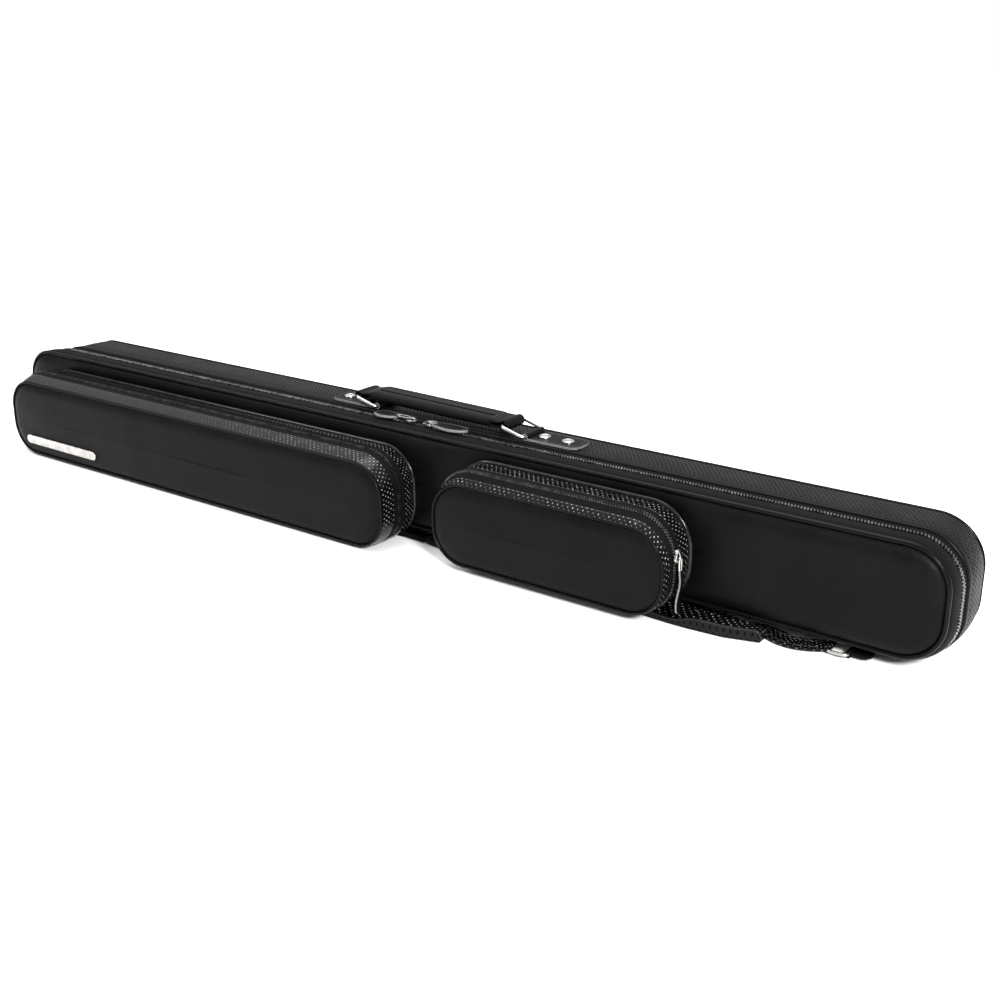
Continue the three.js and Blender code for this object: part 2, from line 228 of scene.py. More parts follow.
class Loop:
    """A rounded rectangle in X and Z, sampled at the same places whatever its size.

    Each point is a mix of two points on corner arcs: centre + radius * (cos, sin). On a
    corner both are the same point, and on a straight side they are its two ends. The row
    starts in the middle of the bottom side and runs by the left end over the top.
    """

    def __init__(self, long_steps: int = 240, short_steps: int = 10, corner_steps: int = 14) -> None:
        """Lays out the samples.

        Args:
            long_steps: samples on the top and on the bottom side.
            short_steps: samples on each end.
            corner_steps: samples on each corner.
        """
        corners = [(0, 0, 270.0), (0, 1, 180.0), (1, 1, 90.0), (1, 0, 0.0)]
        sides = [short_steps, long_steps, short_steps, long_steps]
        parts: list[Array] = []
        for number, (sx, sz, start) in enumerate(corners):
            turn = np.radians(start - 90.0 * np.arange(corner_steps) / corner_steps)
            same = np.full(corner_steps, 0.0)
            here = np.stack([same + sx, same + sz, turn, same + sx, same + sz, turn, same], 1)
            nx, nz, n_start = corners[(number + 1) % 4]
            t = np.arange(sides[number]) / sides[number]
            flat = np.zeros_like(t)
            side = np.stack([flat + sx, flat + sz, flat + math.radians(start - 90),
                             flat + nx, flat + nz, flat + math.radians(n_start), t], 1)
            parts += [here, side]
        layout = np.concatenate(parts)
        self.layout = np.roll(layout, long_steps // 2, axis=0)
        self.count = len(layout)
        self.bottom = long_steps // 2

    def points(self, rect: dict[str, Array], inset: Array) -> Array:
        """Points of the rounded rectangles.

        Args:
            rect: x0, x1, z0, z1 and r, each a number or one value a row.
            inset: how far each row lies inside its rectangle.

        Returns:
            (rows, columns, 2) X and Z.
        """
        inset = np.atleast_1d(np.asarray(inset, float))[:, None]
        side = {k: np.broadcast_to(np.atleast_1d(np.asarray(v, float))[:, None], inset.shape)
                for k, v in rect.items()}
        radius = np.maximum(side["r"] - inset, 0.02)
        left, right = side["x0"] + inset + radius, side["x1"] - inset - radius
        low, high = side["z0"] + inset + radius, side["z1"] - inset - radius
        middle = (low + high) / 2
        low, high = np.where(low > high, middle, low), np.where(low > high, middle, high)
        ax, az, at, bx, bz, bt, mix = self.layout.T
        x = ((1 - mix) * (left + (right - left) * ax + radius * np.cos(at))
             + mix * (left + (right - left) * bx + radius * np.cos(bt)))
        z = ((1 - mix) * (low + (high - low) * az + radius * np.sin(at))
             + mix * (low + (high - low) * bz + radius * np.sin(bt)))
        return np.stack([x, z], -1)


def smooth_profile(knots: list[Pair], count: int, closed: bool = False) -> Array:
    """A smooth curve through knots: cubic with Catmull-Rom slopes, evenly spaced.

    Args:
        knots: points to pass through.
        count: samples on the result.
        closed: the curve returns to its first knot.

    Returns:
        (count, 2) points.
    """
    p = np.array(knots, float)
    if closed:
        padded = np.concatenate([p[-1:], p, p[:2]])
    else:
        padded = np.concatenate([2 * p[:1] - p[1:2], p, 2 * p[-1:] - p[-2:-1]])
    t = np.linspace(0, 1, 24, endpoint=False)[:, None]
    a, b, c, d = padded[:-3, None], padded[1:-2, None], padded[2:-1, None], padded[3:, None]
    curve = 0.5 * (2 * b + (c - a) * t + (2 * a - 5 * b + 4 * c - d) * t**2 + (3 * b - a - 3 * c + d) * t**3)
    dense = curve.reshape(-1, 2)
    dense = np.concatenate([dense, p[:1] if closed else p[-1:]])
    run = lengths(dense, False)
    want = np.linspace(0, run[-1], count + 1)[:-1] if closed else np.linspace(0, run[-1], count)
    return np.stack([np.interp(want, run, dense[:, k]) for k in range(2)], -1)


def sweep(path: Array, section: Array, up: Triple, closed: bool) -> Array:
    """Carries a section along a path: point = path + a * side + b * normal.

    Args:
        path: (n, 3) points.
        section: (m, 2) offsets a and b.
        up: a direction never along the path.
        closed: the path returns to its start.

    Returns:
        (n, m, 3) points.
    """
    if closed:
        tangent = np.roll(path, -1, 0) - np.roll(path, 1, 0)
    else:
        tangent = np.gradient(path, axis=0)
    tangent /= np.linalg.norm(tangent, axis=1, keepdims=True)
    side = np.cross(tangent, np.array(up, float))
    side /= np.linalg.norm(side, axis=1, keepdims=True)
    normal = np.cross(side, tangent)
    return path[:, None] + section[None, :, :1] * side[:, None] + section[None, :, 1:] * normal[:, None]


def turns(count: int) -> Array:
    """Angles evenly spaced round one full turn, without the last."""
    return np.linspace(0, 2 * math.pi, count, endpoint=False)


def circle(radius: float, count: int = 12) -> Array:
    """A round section."""
    angle = turns(count)
    return np.stack([radius * np.cos(angle), radius * np.sin(angle)], -1)


def signed_power(value: Array, power: float) -> Array:
    """A power that keeps the sign: sign(value) * |value|^power."""
    return np.sign(value) * np.abs(value) ** power


def smoothstep(share: Array) -> Array:
    """Share from 0 to 1, level at both ends: s^2 (3 - 2 s)."""
    return share**2 * (3 - 2 * share)


def relax(row: Array, times: int) -> None:
    """Evens out a row in place, its ends held: each point becomes (before + 2 * point + after) / 4."""
    for _ in range(times):
        row[1:-1] = (row[:-2] + 2 * row[1:-1] + row[2:]) / 4


def stand(xz: Array, y: float | Array) -> Array:
    """Points in X and Z, stood up at their depth Y."""
    return np.stack([xz[..., 0], np.broadcast_to(y, xz.shape[:-1]), xz[..., 1]], -1)


def upward(count: int) -> Array:
    """One direction straight up for each of a row of points."""
    return np.tile((0.0, 0.0, 1.0), (count, 1))


def repeat_shape(name: str, shape: Array, faces: Array, at: Array, axes: Array) -> bpy.types.Object:
    """One mesh of many copies of a small shape: point = place + shape . axes.

    Args:
        name: the piece's name.
        shape: (k, 3) points of one copy, in its own axes.
        faces: (f, 4) corners of one copy.
        at: (n, 3) places.
        axes: (n, 3, 3) each copy's three axes, as rows.

    Returns:
        The object.
    """
    points = at[:, None] + np.einsum("kc,ncx->nkx", shape, axes)
    corners = faces[None] + (np.arange(len(at)) * len(shape))[:, None, None]
    obj = make_object(name, points.reshape(-1, 3), corners.reshape(-1, 4))
    return finish_mesh(obj, False)


def lump(length: float, width: float, height: float, shoulder: float = 0.6) -> tuple[Array, Array]:
    """A small block whose upper rim is drawn in, for teeth and stitches.

    Args:
        length: size along the row.
        width: size across the row.
        height: size away from the surface.
        shoulder: share of length and width left at the top.

    Returns:
        (12, 3) points and (10, 4) corners.
    """
    a, b = length / 2, width / 2
    corners = np.array([(-a, -b), (a, -b), (a, b), (-a, b)])
    levels = [(0.0, 1.0), (height * 0.6, 1.0), (height, shoulder)]
    points = np.concatenate([np.column_stack([corners * s, np.full(4, z)]) for z, s in levels])
    faces = [(3, 2, 1, 0), (8, 9, 10, 11)]
    for level in (0, 4):
        faces += [(level + k, level + (k + 1) % 4, level + 4 + (k + 1) % 4, level + 4 + k) for k in range(4)]
    return points, np.array(faces)


def along_path(path: Array, outward: Array, pitch: float, start: float = 0.0) -> tuple[Array, Array]:
    """Evenly spaced places on a path, with their axes: along, across, outward.

    Args:
        path: (n, 3) points.
        outward: (n, 3) directions away from the surface.
        pitch: distance between places.
        start: first place's distance from the path's start.

    Returns:
        (k, 3) places and (k, 3, 3) axes.
    """
    run = lengths(path, False)
    want = np.arange(start, run[-1], pitch)
    at = np.stack([np.interp(want, run, path[:, k]) for k in range(3)], -1)
    ahead = np.stack([np.interp(want + 0.5, run, path[:, k]) for k in range(3)], -1)
    behind = np.stack([np.interp(want - 0.5, run, path[:, k]) for k in range(3)], -1)
    t = ahead - behind
    t /= np.linalg.norm(t, axis=1, keepdims=True)
    n = np.stack([np.interp(want, run, outward[:, k]) for k in range(3)], -1)
    n -= (n * t).sum(1, keepdims=True) * t
    n /= np.linalg.norm(n, axis=1, keepdims=True)
    return at, np.stack([t, np.cross(n, t), n], 1)


def ripple(x: Array, z: Array, wave: float) -> Array:
    """Slow unevenness of soft leather: a fixed sum of five plane waves, about -1 to 1.

    Args:
        x: places along the case.
        z: places up the case.
        wave: length of the main wave.

    Returns:
        The height at each place.
    """
    turns = [(1.0, 0.35, 0.3), (0.62, -1.1, 1.9), (1.7, 0.8, 4.1), (-0.45, 1.6, 2.7), (2.3, -0.5, 5.2)]
    total = sum(np.sin(2 * math.pi * (a * x + b * z) / wave + c) / (1 + abs(a)) for a, b, c in turns)
    return total / 2.4


def apart(rect: Rect, x: Array, z: Array) -> Array:
    """Distance of points from a rounded rectangle, below zero inside it.

    The box is shrunk by its corner radius r: distance = |max(q, 0)| + min(max(q), 0) - r,
    where q is how far the point lies outside the shrunk box along each axis.

    Args:
        rect: the rounded rectangle.
        x: X of the points.
        z: Z of the points.

    Returns:
        The distance of each point.
    """
    r = rect["r"]
    qx = np.abs(x - (rect["x0"] + rect["x1"]) / 2) - (rect["x1"] - rect["x0"]) / 2 + r
    qz = np.abs(z - (rect["z0"] + rect["z1"]) / 2) - (rect["z1"] - rect["z0"]) / 2 + r
    return np.hypot(np.maximum(qx, 0), np.maximum(qz, 0)) + np.minimum(np.maximum(qx, qz), 0) - r


def grown(rect: Rect, by: float) -> Rect:
    """A rounded rectangle that much larger all round."""
    return {"x0": rect["x0"] - by, "x1": rect["x1"] + by, "z0": rect["z0"] - by,
            "z1": rect["z1"] + by, "r": max(rect["r"] + by, 0.5)}


def rolled(depth: Array, width: float) -> Array:
    """Rise of a stuffed edge from 0 to 1.

    Three quarters follow a quarter ellipse, sqrt(1 - (1 - depth / width)^2), and one quarter
    keeps swelling as 1 - exp(-depth / (1.4 width)).
    """
    arc = np.sqrt(1 - (1 - np.clip(depth / width, 0, 1)) ** 2)
    return 0.75 * arc + 0.25 * (1 - np.exp(-depth / (1.4 * width)))


def strap(name: str, path: Array, half_width: Array, half_thick: Array, power: float = 5.0,
          steps: int = 28, up: Triple = (0.0, 1.0, 0.0), closed: bool = False,
          edge_from: float | None = None) -> bpy.types.Object:
    """A flat strap along a path, with a superellipse section.

    Section: a = half width * |cos|^(2/power), b = half thickness * |sin|^(2/power), with the
    signs of cos and sin, carried along the path.

    Args:
        name: the piece's name.
        path: (n, 3) middle line.
        half_width: half width along the up direction, a number or one for each point.
        half_thick: half thickness, a number or one for each point.
        power: 2 is an oval, larger is squarer.
        steps: points round the section.
        up: the direction in which the strap is wide.
        closed: the path returns to its start.
        edge_from: share of the half width beyond which faces take the second material.

    Returns:
        The object.
    """
    n = len(path)
    width = np.broadcast_to(np.asarray(half_width, float), n)[:, None]
    thick = np.broadcast_to(np.asarray(half_thick, float), n)[:, None]
    angle = turns(steps) + math.pi / steps
    a = signed_power(np.cos(angle), 2 / power)
    b = signed_power(np.sin(angle), 2 / power)
    tangent = (np.roll(path, -1, 0) - np.roll(path, 1, 0)) if closed else np.gradient(path, axis=0)
    tangent /= np.linalg.norm(tangent, axis=1, keepdims=True)
    wide = np.broadcast_to(np.array(up, float), path.shape)
    wide = wide - (wide * tangent).sum(1, keepdims=True) * tangent
    wide /= np.linalg.norm(wide, axis=1, keepdims=True)
    deep = np.cross(tangent, wide)
    points = path[:, None] + (a * width)[..., None] * wide[:, None] + (b * thick)[..., None] * deep[:, None]
    middle = (np.abs(a) + np.abs(np.roll(a, -1))) / 2
    bands = None if edge_from is None else (middle > edge_from).astype(int)
    return grid(name, points, close_v=closed, column_bands=bands)


def rounded_ends(x: Array, start: float, end: float, radius: float, least: float = 0.05) -> Array:
    """Share of full width along a strap whose ends are round: sqrt(1 - (1 - d / radius)^2).

    Args:
        x: places along the strap.
        start: where it begins.
        end: where it ends.
        radius: length of each round end.
        least: the smallest share.

    Returns:
        The share at each place.
    """
    d = np.minimum(x - start, end - x) if end > start else np.minimum(start - x, x - end)
    near = np.clip(1 - d / radius, 0, 1)
    return np.maximum(np.sqrt(1 - near**2), least)


def fold_path(bar_x: float, bar_z: float, radius: float, tail_x: float, low_z: float, high_z: float,
              y: float, tail_steps: int = 60) -> Array:
    """Middle line of a strap folded round a bar: in below, round the bar, and back above.

    Args:
        bar_x: the bar's X.
        bar_z: the bar's Z.
        radius: from the bar's middle to the strap's middle line.
        tail_x: where both layers end.
        low_z: the lower layer's height.
        high_z: the upper layer's height.
        y: the strap's middle.
        tail_steps: samples on each layer.

    Returns:
        (n, 3) points.
    """
    side = math.copysign(1.0, tail_x - bar_x)
    high, low = math.asin((high_z - bar_z) / radius), math.asin((low_z - bar_z) / radius)
    turn = np.linspace(high, low + 2 * math.pi, 40)
    arc = np.stack([bar_x + side * radius * np.cos(turn), bar_z + radius * np.sin(turn)], -1)
    t = np.linspace(0, 1, tail_steps, endpoint=False)[:, None]
    over = (1 - t) * np.array([tail_x, high_z]) + t * arc[0]
    under = (1 - t) * np.array([tail_x, low_z]) + t * arc[-1]
    line = np.concatenate([over, arc, under[::-1]])
    relax(line, 3)
    return stand(line, y)


def lathe(name: str, profile: Array, x: float, y: float, z: float, steps: int = 40) -> bpy.types.Object:
    """A turned piece about an upright line: (r cos a, r sin a, h) for each radius and height.

    Args:
        name: the piece's name.
        profile: (n, 2) radius and height.
        x: the line's X.
        y: the line's Y.
        z: the height that the profile's heights are counted from.
        steps: points round the line.

    Returns:
        The object.
    """
    ring = turns(steps)
    r, h = profile.T
    r = np.maximum(r, 0.004)
    points = np.stack([x + np.outer(r, np.cos(ring)), y + np.outer(r, np.sin(ring)),
                       z + np.repeat(h[:, None], steps, 1)], -1)
    return grid(name, points, close_v=False, weld=True)


def join(name: str, parts: list[bpy.types.Object]) -> bpy.types.Object:
    """Makes one piece of several closed meshes, which keep their own material numbers.

    Args:
        name: the piece's name.
        parts: the meshes, removed once they are copied.

    Returns:
        The object.
    """
    work = bmesh.new()
    for part in parts:
        work.from_mesh(part.data)
        bpy.data.objects.remove(part)
    mesh = bpy.data.meshes.new(name)
    work.to_mesh(mesh)
    work.free()
    mesh.shade_smooth()
    mesh.set_sharp_from_angle(angle=SHARP_EDGE)
    obj = bpy.data.objects.new(name, mesh)
    bpy.context.scene.collection.objects.link(obj)
    return obj


def stitches(name: str, path: Array, outward: Array, pitch: float = 3.2, long: float = 2.3,
             wide: float = 0.62) -> bpy.types.Object:
    """A row of thread stitches, each a small rounded lump lying along the path.

    Args:
        name: the piece's name.
        path: (n, 3) points of the seam.
        outward: (n, 3) directions away from the surface.
        pitch: distance between stitches.
        long: length of one stitch.
        wide: width of one stitch.

    Returns:
        The object.
    """
    shape, faces = lump(long, wide, 0.42, 0.45)
    shape = shape - [0, 0, 0.12]
    at, axes = along_path(path, outward, pitch, pitch / 2)
    return repeat_shape(name, shape, faces, at, axes)


def flat_line(x0: float, x1: float, y: float | Array, z: float | Array,
              count: int) -> tuple[Array, Array]:
    """A line along X with its outward direction up, for stitches on a flat strap.

    Args:
        x0: X of the first point.
        x1: X of the last point.
        y: Y, a number or one for each point.
        z: Z, a number or one for each point.
        count: points on the line.

    Returns:
        (count, 3) points and their (count, 3) directions.
    """
    x = np.linspace(x0, x1, count)
    path = np.stack([x, np.broadcast_to(y, count), np.broadcast_to(z, count)], -1).astype(float)
    return path, upward(count)


def along_x(x: Array, section: Array) -> Array:
    """Carries a (Y, Z) section along X: one row of points at each X.

    Args:
        x: the places.
        section: (m, 2) points.

    Returns:
        (n, m, 3) points.
    """
    shape = (len(x), len(section))
    return np.stack([np.broadcast_to(x[:, None], shape), np.broadcast_to(section[:, 0], shape),
                     np.broadcast_to(section[:, 1], shape)], -1)


LOOP = Loop()
SMALL_LOOP = Loop(110, 8, 12)


def ring(name: str, rect: dict[str, Array], profile: Array, loop: Loop = LOOP,
         bands: tuple[int, ...] = ()) -> bpy.types.Object:
    """Carries a closed (depth, inset) profile round a rounded rectangle.

    Args:
        name: the piece's name.
        rect: the rectangle's sides, one value or one for each profile point.
        profile: (n, 2) depth Y and distance inside the rectangle.
        loop: the sampling.
        bands: profile numbers from which the next material begins.

    Returns:
        The object.
    """
    xz = loop.points(rect, profile[:, 1])
    return grid(name, stand(xz, profile[:, :1]), row_bands=bands)


def run_round(rect: Rect, y: float, inset: float, loop: Loop = LOOP) -> tuple[Array, Array]:
    """The line over the top and both ends of a rounded rectangle, with its outward directions.

    Args:
        rect: the rectangle's sides.
        y: the line's depth.
        inset: how far inside the rectangle it lies.
        loop: the sampling.

    Returns:
        (n, 3) points and their (n, 3) outward directions.
    """
    pair = loop.points(rect, np.array([inset, inset - 1.0]))[:, loop.bottom:loop.count - loop.bottom]
    return stand(pair[0], y), stand(pair[1] - pair[0], 0.0)


def open_band(name: str, rects: dict[str, Array], profile: Array) -> bpy.types.Object:
    """A closed profile carried over the top and both ends only, with its two ends capped.

    Args:
        name: the piece's name.
        rects: the rectangle's sides, one value for each profile point.
        profile: (n, 2) depth Y and distance inside the rectangle.

    Returns:
        The object.
    """
    xz = LOOP.points(rects, profile[:, 1])[:, LOOP.bottom:LOOP.count - LOOP.bottom]
    return grid(name, stand(xz, profile[:, :1]), close_u=False)


def panel(name: str, rect: Rect, edge: float, back: float,
          face: Callable[[Array, Array, Array], Array], rows: int = 36,
          loop: Loop = LOOP) -> bpy.types.Object:
    """A stuffed panel of nested rounded rectangles, from its seam to its middle line.

    Args:
        name: the piece's name.
        rect: the outline.
        edge: how far inside the outline the panel's seam lies.
        back: Y of its flat back.
        face: Y of the face from X, Z and the distance from the seam.
        rows: rectangles between the seam and the middle.
        loop: the sampling.

    Returns:
        The object.
    """
    deepest = (rect["z1"] - rect["z0"]) / 2
    inset = edge + (deepest - edge) * np.linspace(0, 1, rows) ** 1.5
    xz = loop.points(rect, inset)
    y = face(xz[..., 0], xz[..., 1], np.broadcast_to((inset - edge)[:, None], xz.shape[:2]))
    front = stand(xz, y)
    flat = front[[-1, 0]].copy()
    flat[..., 1] = back
    return grid(name, np.concatenate([flat, front]), close_v=False, weld=True)


# ---- finishes ---------------------------------------------------------------------------
Socket = bpy.types.NodeSocket


class Tree:
    """A material's node tree, with short calls for its nodes."""

    def __init__(self, name: str) -> None:
        """Starts a material with its shader.

        Args:
            name: the material's name.
        """
        self.material = bpy.data.materials.new(name)
        self.material.use_nodes = True
        self.nodes = self.material.node_tree.nodes
        self.links = self.material.node_tree.links
        self.shader = self.nodes["Principled BSDF"]
        self.objects = self.nodes.new("ShaderNodeTexCoord").outputs["Object"]

    def put(self, socket: Socket, value: object) -> None:
        """Links a socket, or sets a number.

        Args:
            socket: the input.
            value: an output to link, or a number or colour.
        """
        if isinstance(value, bpy.types.NodeSocket):
            self.links.new(value, socket)
        else:
            socket.default_value = value

    def set(self, **values: object) -> None:
        """Sets or links shader inputs; underscores stand for spaces."""
        for key, value in values.items():
            self.put(self.shader.inputs[key.replace("_", " ")], value)

    def math(self, kind: str, a: object, b: object = 0.0) -> Socket:
        """One sum of two numbers or sockets.

        Args:
            kind: the operation.
            a: first number or output.
            b: second number or output.

        Returns:
            The result.
        """
        node = self.nodes.new("ShaderNodeMath")
        node.operation = kind
        self.put(node.inputs[0], a)
        self.put(node.inputs[1], b)
        return node.outputs[0]

    def span(self, value: Socket, low: float, high: float, to_low: float = 0.0,
             to_high: float = 1.0) -> Socket:
        """Carries a range on to another one smoothly, held at its ends.

        Args:
            value: the number to carry.
            low: start of its range.
            high: end of its range.
            to_low: start of the new range.
            to_high: end of the new range.

        Returns:
            The carried number.
        """
        node = self.nodes.new("ShaderNodeMapRange")
        node.interpolation_type = "SMOOTHSTEP"
        for socket, number in zip(node.inputs[0:5], (value, low, high, to_low, to_high)):
            self.put(socket, number)
        return node.outputs["Result"]

    def noise(self, size: float, detail: float = 3.0, vector: Socket | None = None) -> Socket:
        """Noise whose lumps are about that many millimetres.

        Args:
            size: size of the lumps.
            detail: layers of finer noise.
            vector: coordinates, or None for the object's own.

        Returns:
            The noise, about 0 to 1.
        """
        node = self.nodes.new("ShaderNodeTexNoise")
        node.inputs["Scale"].default_value = 1 / MM / size
        node.inputs["Detail"].default_value = detail
        self.put(node.inputs["Vector"], vector or self.objects)
        return node.outputs["Fac"]

    def cells(self, size: float, feature: str = "F1") -> Socket:
        """Distance to cell points or edges, for cells of that many millimetres.

        Args:
            size: size of the cells.
            feature: which distance.

        Returns:
            The distance.
        """
        node = self.nodes.new("ShaderNodeTexVoronoi")
        node.feature = feature
        node.inputs["Scale"].default_value = 1 / MM / size
        self.put(node.inputs["Vector"], self.objects)
        return node.outputs["Distance"]

    def along(self) -> tuple[Socket, Socket]:
        """The pattern map's two coordinates, in millimetres along and across the piece.

        Returns:
            Along and across.
        """
        uv = self.nodes.new("ShaderNodeUVMap")
        uv.uv_map = "pattern"
        split = self.nodes.new("ShaderNodeSeparateXYZ")
        self.put(split.inputs[0], uv.outputs[0])
        u, v = (self.math("MULTIPLY", split.outputs[axis], 1 / MM) for axis in (0, 1))
        return u, v

    def wave(self, value: Socket, pitch: float) -> Socket:
        """Cosine of a coordinate, one turn each pitch."""
        return self.math("COSINE", self.math("MULTIPLY", value, 2 * math.pi / pitch))

    def blend(self, amount: Socket, low: tuple[float, ...], high: tuple[float, ...]) -> Socket:
        """Colour between two colours.

        Args:
            amount: share of the second colour.
            low: first colour.
            high: second colour.

        Returns:
            The colour.
        """
        node = self.nodes.new("ShaderNodeMix")
        node.data_type = "RGBA"
        self.put(node.inputs[0], amount)
        node.inputs[6].default_value = (*low, 1.0)
        node.inputs[7].default_value = (*high, 1.0)
        return node.outputs[2]

    def bump(self, height: Socket, depth: float, before: Socket | None = None) -> Socket:
        """Surface direction of a relief that many millimetres deep.

        Args:
            height: the relief, about 0 to 1.
            depth: its depth.
            before: a direction already bent by a coarser relief, or None.

        Returns:
            The direction.
        """
        node = self.nodes.new("ShaderNodeBump")
        node.inputs["Distance"].default_value = depth * MM
        self.put(node.inputs["Height"], height)
        if before is not None:
            self.put(node.inputs["Normal"], before)
        return node.outputs[0]


@dataclass(frozen=True)
class SmoothLeather:
    """Smooth black leather: fine closed grain, slow cloudiness and a soft gloss."""

    slot: str = "smooth_leather"
    name: str = "leather_smooth_black"
    dark: Triple = (0.0017, 0.0016, 0.0018)
    light: Triple = (0.0033, 0.0031, 0.0034)
    grain: float = 0.8
    roughness: float = 0.36
    relief: float = 0.045
    gloss: float = 0.055

    def material(self) -> bpy.types.Material:
        """Builds the material.

        Returns:
            The material.
        """
        t = Tree(self.name)
        cloud = t.noise(38.0, 4.0)
        grain = t.cells(self.grain, "DISTANCE_TO_EDGE")
        fine = t.noise(0.28, 2.0)
        mottled = t.math("ADD", t.math("MULTIPLY", cloud, 0.75), t.math("MULTIPLY", fine, 0.25))
        t.set(Base_Color=t.blend(t.span(mottled, 0.3, 0.7), self.dark, self.light),
              Roughness=t.span(cloud, 0.3, 0.7, self.roughness - 0.05, self.roughness + 0.06),
              Specular_IOR_Level=self.gloss)
        soft = t.bump(t.noise(9.0, 2.0), 0.12)
        t.set(Normal=t.bump(t.span(grain, 0.0, 0.16), self.relief, soft))
        return t.material


@dataclass(frozen=True)
class RawEdge:
    """Cut leather edge: grey brown fibres laid in layers."""

    slot: str = "smooth_leather"
    dark: Triple = (0.05, 0.046, 0.043)
    light: Triple = (0.24, 0.23, 0.22)

    def material(self) -> bpy.types.Material:
        """Builds the material.

        Returns:
            The material.
        """
        t = Tree("leather_cut_edge")
        fibre = t.noise(0.5, 5.0)
        t.set(Base_Color=t.blend(t.span(fibre, 0.3, 0.7), self.dark, self.light), Roughness=0.62,
              Normal=t.bump(fibre, 0.12))
        return t.material


@dataclass(frozen=True)
class RibbedVinyl:
    """Vinyl embossed like carbon cloth: staggered pits between slanting ribs, the pits darkened nearly to
    black by painted shade.
    """

    slot: str = "ribbed_vinyl"
    rib: Triple = (0.0085, 0.0081, 0.0086)
    # pit colour: painted shade, far darker than the vinyl itself, standing for the shade in the embossed pits
    pit_painted_shade: Triple = (0.0006, 0.0006, 0.0006)
    along_pitch: float = 3.5
    across_pitch: float = 4.6
    roughness: float = 0.34

    def material(self) -> bpy.types.Material:
        """Builds the material.

        Returns:
            The material.
        """
        t = Tree("vinyl_ribbed_black")
        u, v = t.along()
        slant = t.math("ADD", u, t.math("MULTIPLY", v, 0.85))
        dots = t.math("MULTIPLY", t.wave(u, self.along_pitch), t.wave(v, self.across_pitch))
        ribs = t.wave(slant, self.along_pitch * 0.72)
        height = t.math("SUBTRACT", t.math("MULTIPLY", ribs, 0.22), t.span(dots, 0.25, 0.8))
        wear = t.noise(25.0, 3.0)
        # mix of rib colour over pit colour: painted shade in the pits, times a slow random wear tone
        shade = t.math("MULTIPLY", t.span(height, -0.8, 0.15), t.span(wear, 0.2, 0.75, 0.7, 1.0))
        t.set(Base_Color=t.blend(shade, self.pit_painted_shade, self.rib), Specular_IOR_Level=0.08,
              Roughness=t.span(shade, 0.0, 1.0, 0.8, self.roughness), Normal=t.bump(height, 0.4))
        return t.material


@dataclass(frozen=True)
class PatentPerforated:
    """Patent vinyl pierced with a staggered field of small holes; their pale colour is partly a paler backing
    and partly a painted glint, shown in noisy patches and faded out towards the left.
    """

    slot: str = "patent_vinyl"
    skin: Triple = (0.0022, 0.0021, 0.0024)
    # hole colour: partly a paler backing, partly a painted glint
    hole: Triple = (0.24, 0.24, 0.25)
    along_pitch: float = 4.0
    across_pitch: float = 5.2
    # X range, in metres, over which the painted glint in the holes fades in from the left
    glint_fade_x: Pair = (-0.22, 0.02)
    roughness: float = 0.15

    def material(self) -> bpy.types.Material:
        """Builds the material.

        Returns:
            The material.
        """
        t = Tree("vinyl_patent_pierced")
        u, v = t.along()
        dots = t.math("MULTIPLY", t.wave(u, self.along_pitch), t.wave(v, self.across_pitch))
        # painted glint: noise patches and the X fade choose where the pale holes show, as if they caught the
        # light
        glint_patch = t.noise(6.0, 2.0)
        hole = t.span(dots, 0.66, 0.84)
        painted_glint = t.math("MULTIPLY", hole, t.span(glint_patch, 0.35, 0.65, 0.12, 1.0))
        along = t.nodes.new("ShaderNodeSeparateXYZ")
        t.put(along.inputs[0], t.nodes.new("ShaderNodeTexCoord").outputs["Object"])
        painted_glint = t.math("MULTIPLY", painted_glint, t.span(along.outputs[0], *self.glint_fade_x, 0.12, 1.0))
        t.set(Base_Color=t.blend(painted_glint, self.skin, self.hole),
              Roughness=t.span(hole, 0.0, 1.0, self.roughness, 0.6), Specular_IOR_Level=0.16)
        t.set(Normal=t.bump(hole, -0.18, t.bump(t.noise(4.0, 2.0), 0.10)))
        return t.material


@dataclass(frozen=True)
class PatentPlain:
    """Patent vinyl without holes, for narrow bound edges: high gloss over a soft ground."""

    slot: str = "patent_vinyl"
    dark: Triple = (0.0032, 0.0030, 0.0034)
    light: Triple = (0.0085, 0.0082, 0.0088)

    def material(self) -> bpy.types.Material:
        """Builds the material.

        Returns:
            The material.
        """
        t = Tree("vinyl_patent_plain")
        cloud = t.noise(7.0, 4.0)
        t.set(Base_Color=t.blend(t.span(cloud, 0.3, 0.7), self.dark, self.light), Specular_IOR_Level=0.25,
              Roughness=t.span(cloud, 0.3, 0.7, 0.12, 0.24), Normal=t.bump(cloud, 0.12))
        return t.material


@dataclass(frozen=True)
class Textile:
    """Fine twill tape and cloth: slanting yarns crossed by weft."""

    slot: str = "textile"
    dark: Triple = (0.0016, 0.0015, 0.0017)
    light: Triple = (0.0062, 0.0059, 0.0063)
    pitch: float = 1.3

    def material(self) -> bpy.types.Material:
        """Builds the material.

        Returns:
            The material.
        """
        t = Tree("textile_twill_black")
        u, v = t.along()
        yarn = t.wave(t.math("ADD", u, v), self.pitch)
        weft = t.wave(t.math("SUBTRACT", v, t.math("MULTIPLY", u, 0.3)), self.pitch * 0.55)
        weave = t.math("ADD", t.math("MULTIPLY", yarn, 0.7), t.math("MULTIPLY", weft, 0.3))
        fuzz = t.noise(1.6, 4.0)
        shade = t.math("MULTIPLY", t.span(weave, -0.8, 0.9), t.span(fuzz, 0.2, 0.8, 0.45, 1.0))
        t.set(Base_Color=t.blend(shade, self.dark, self.light), Roughness=0.6, Specular_IOR_Level=0.05,
              Normal=t.bump(weave, 0.14, t.bump(fuzz, 0.08)))
        return t.material


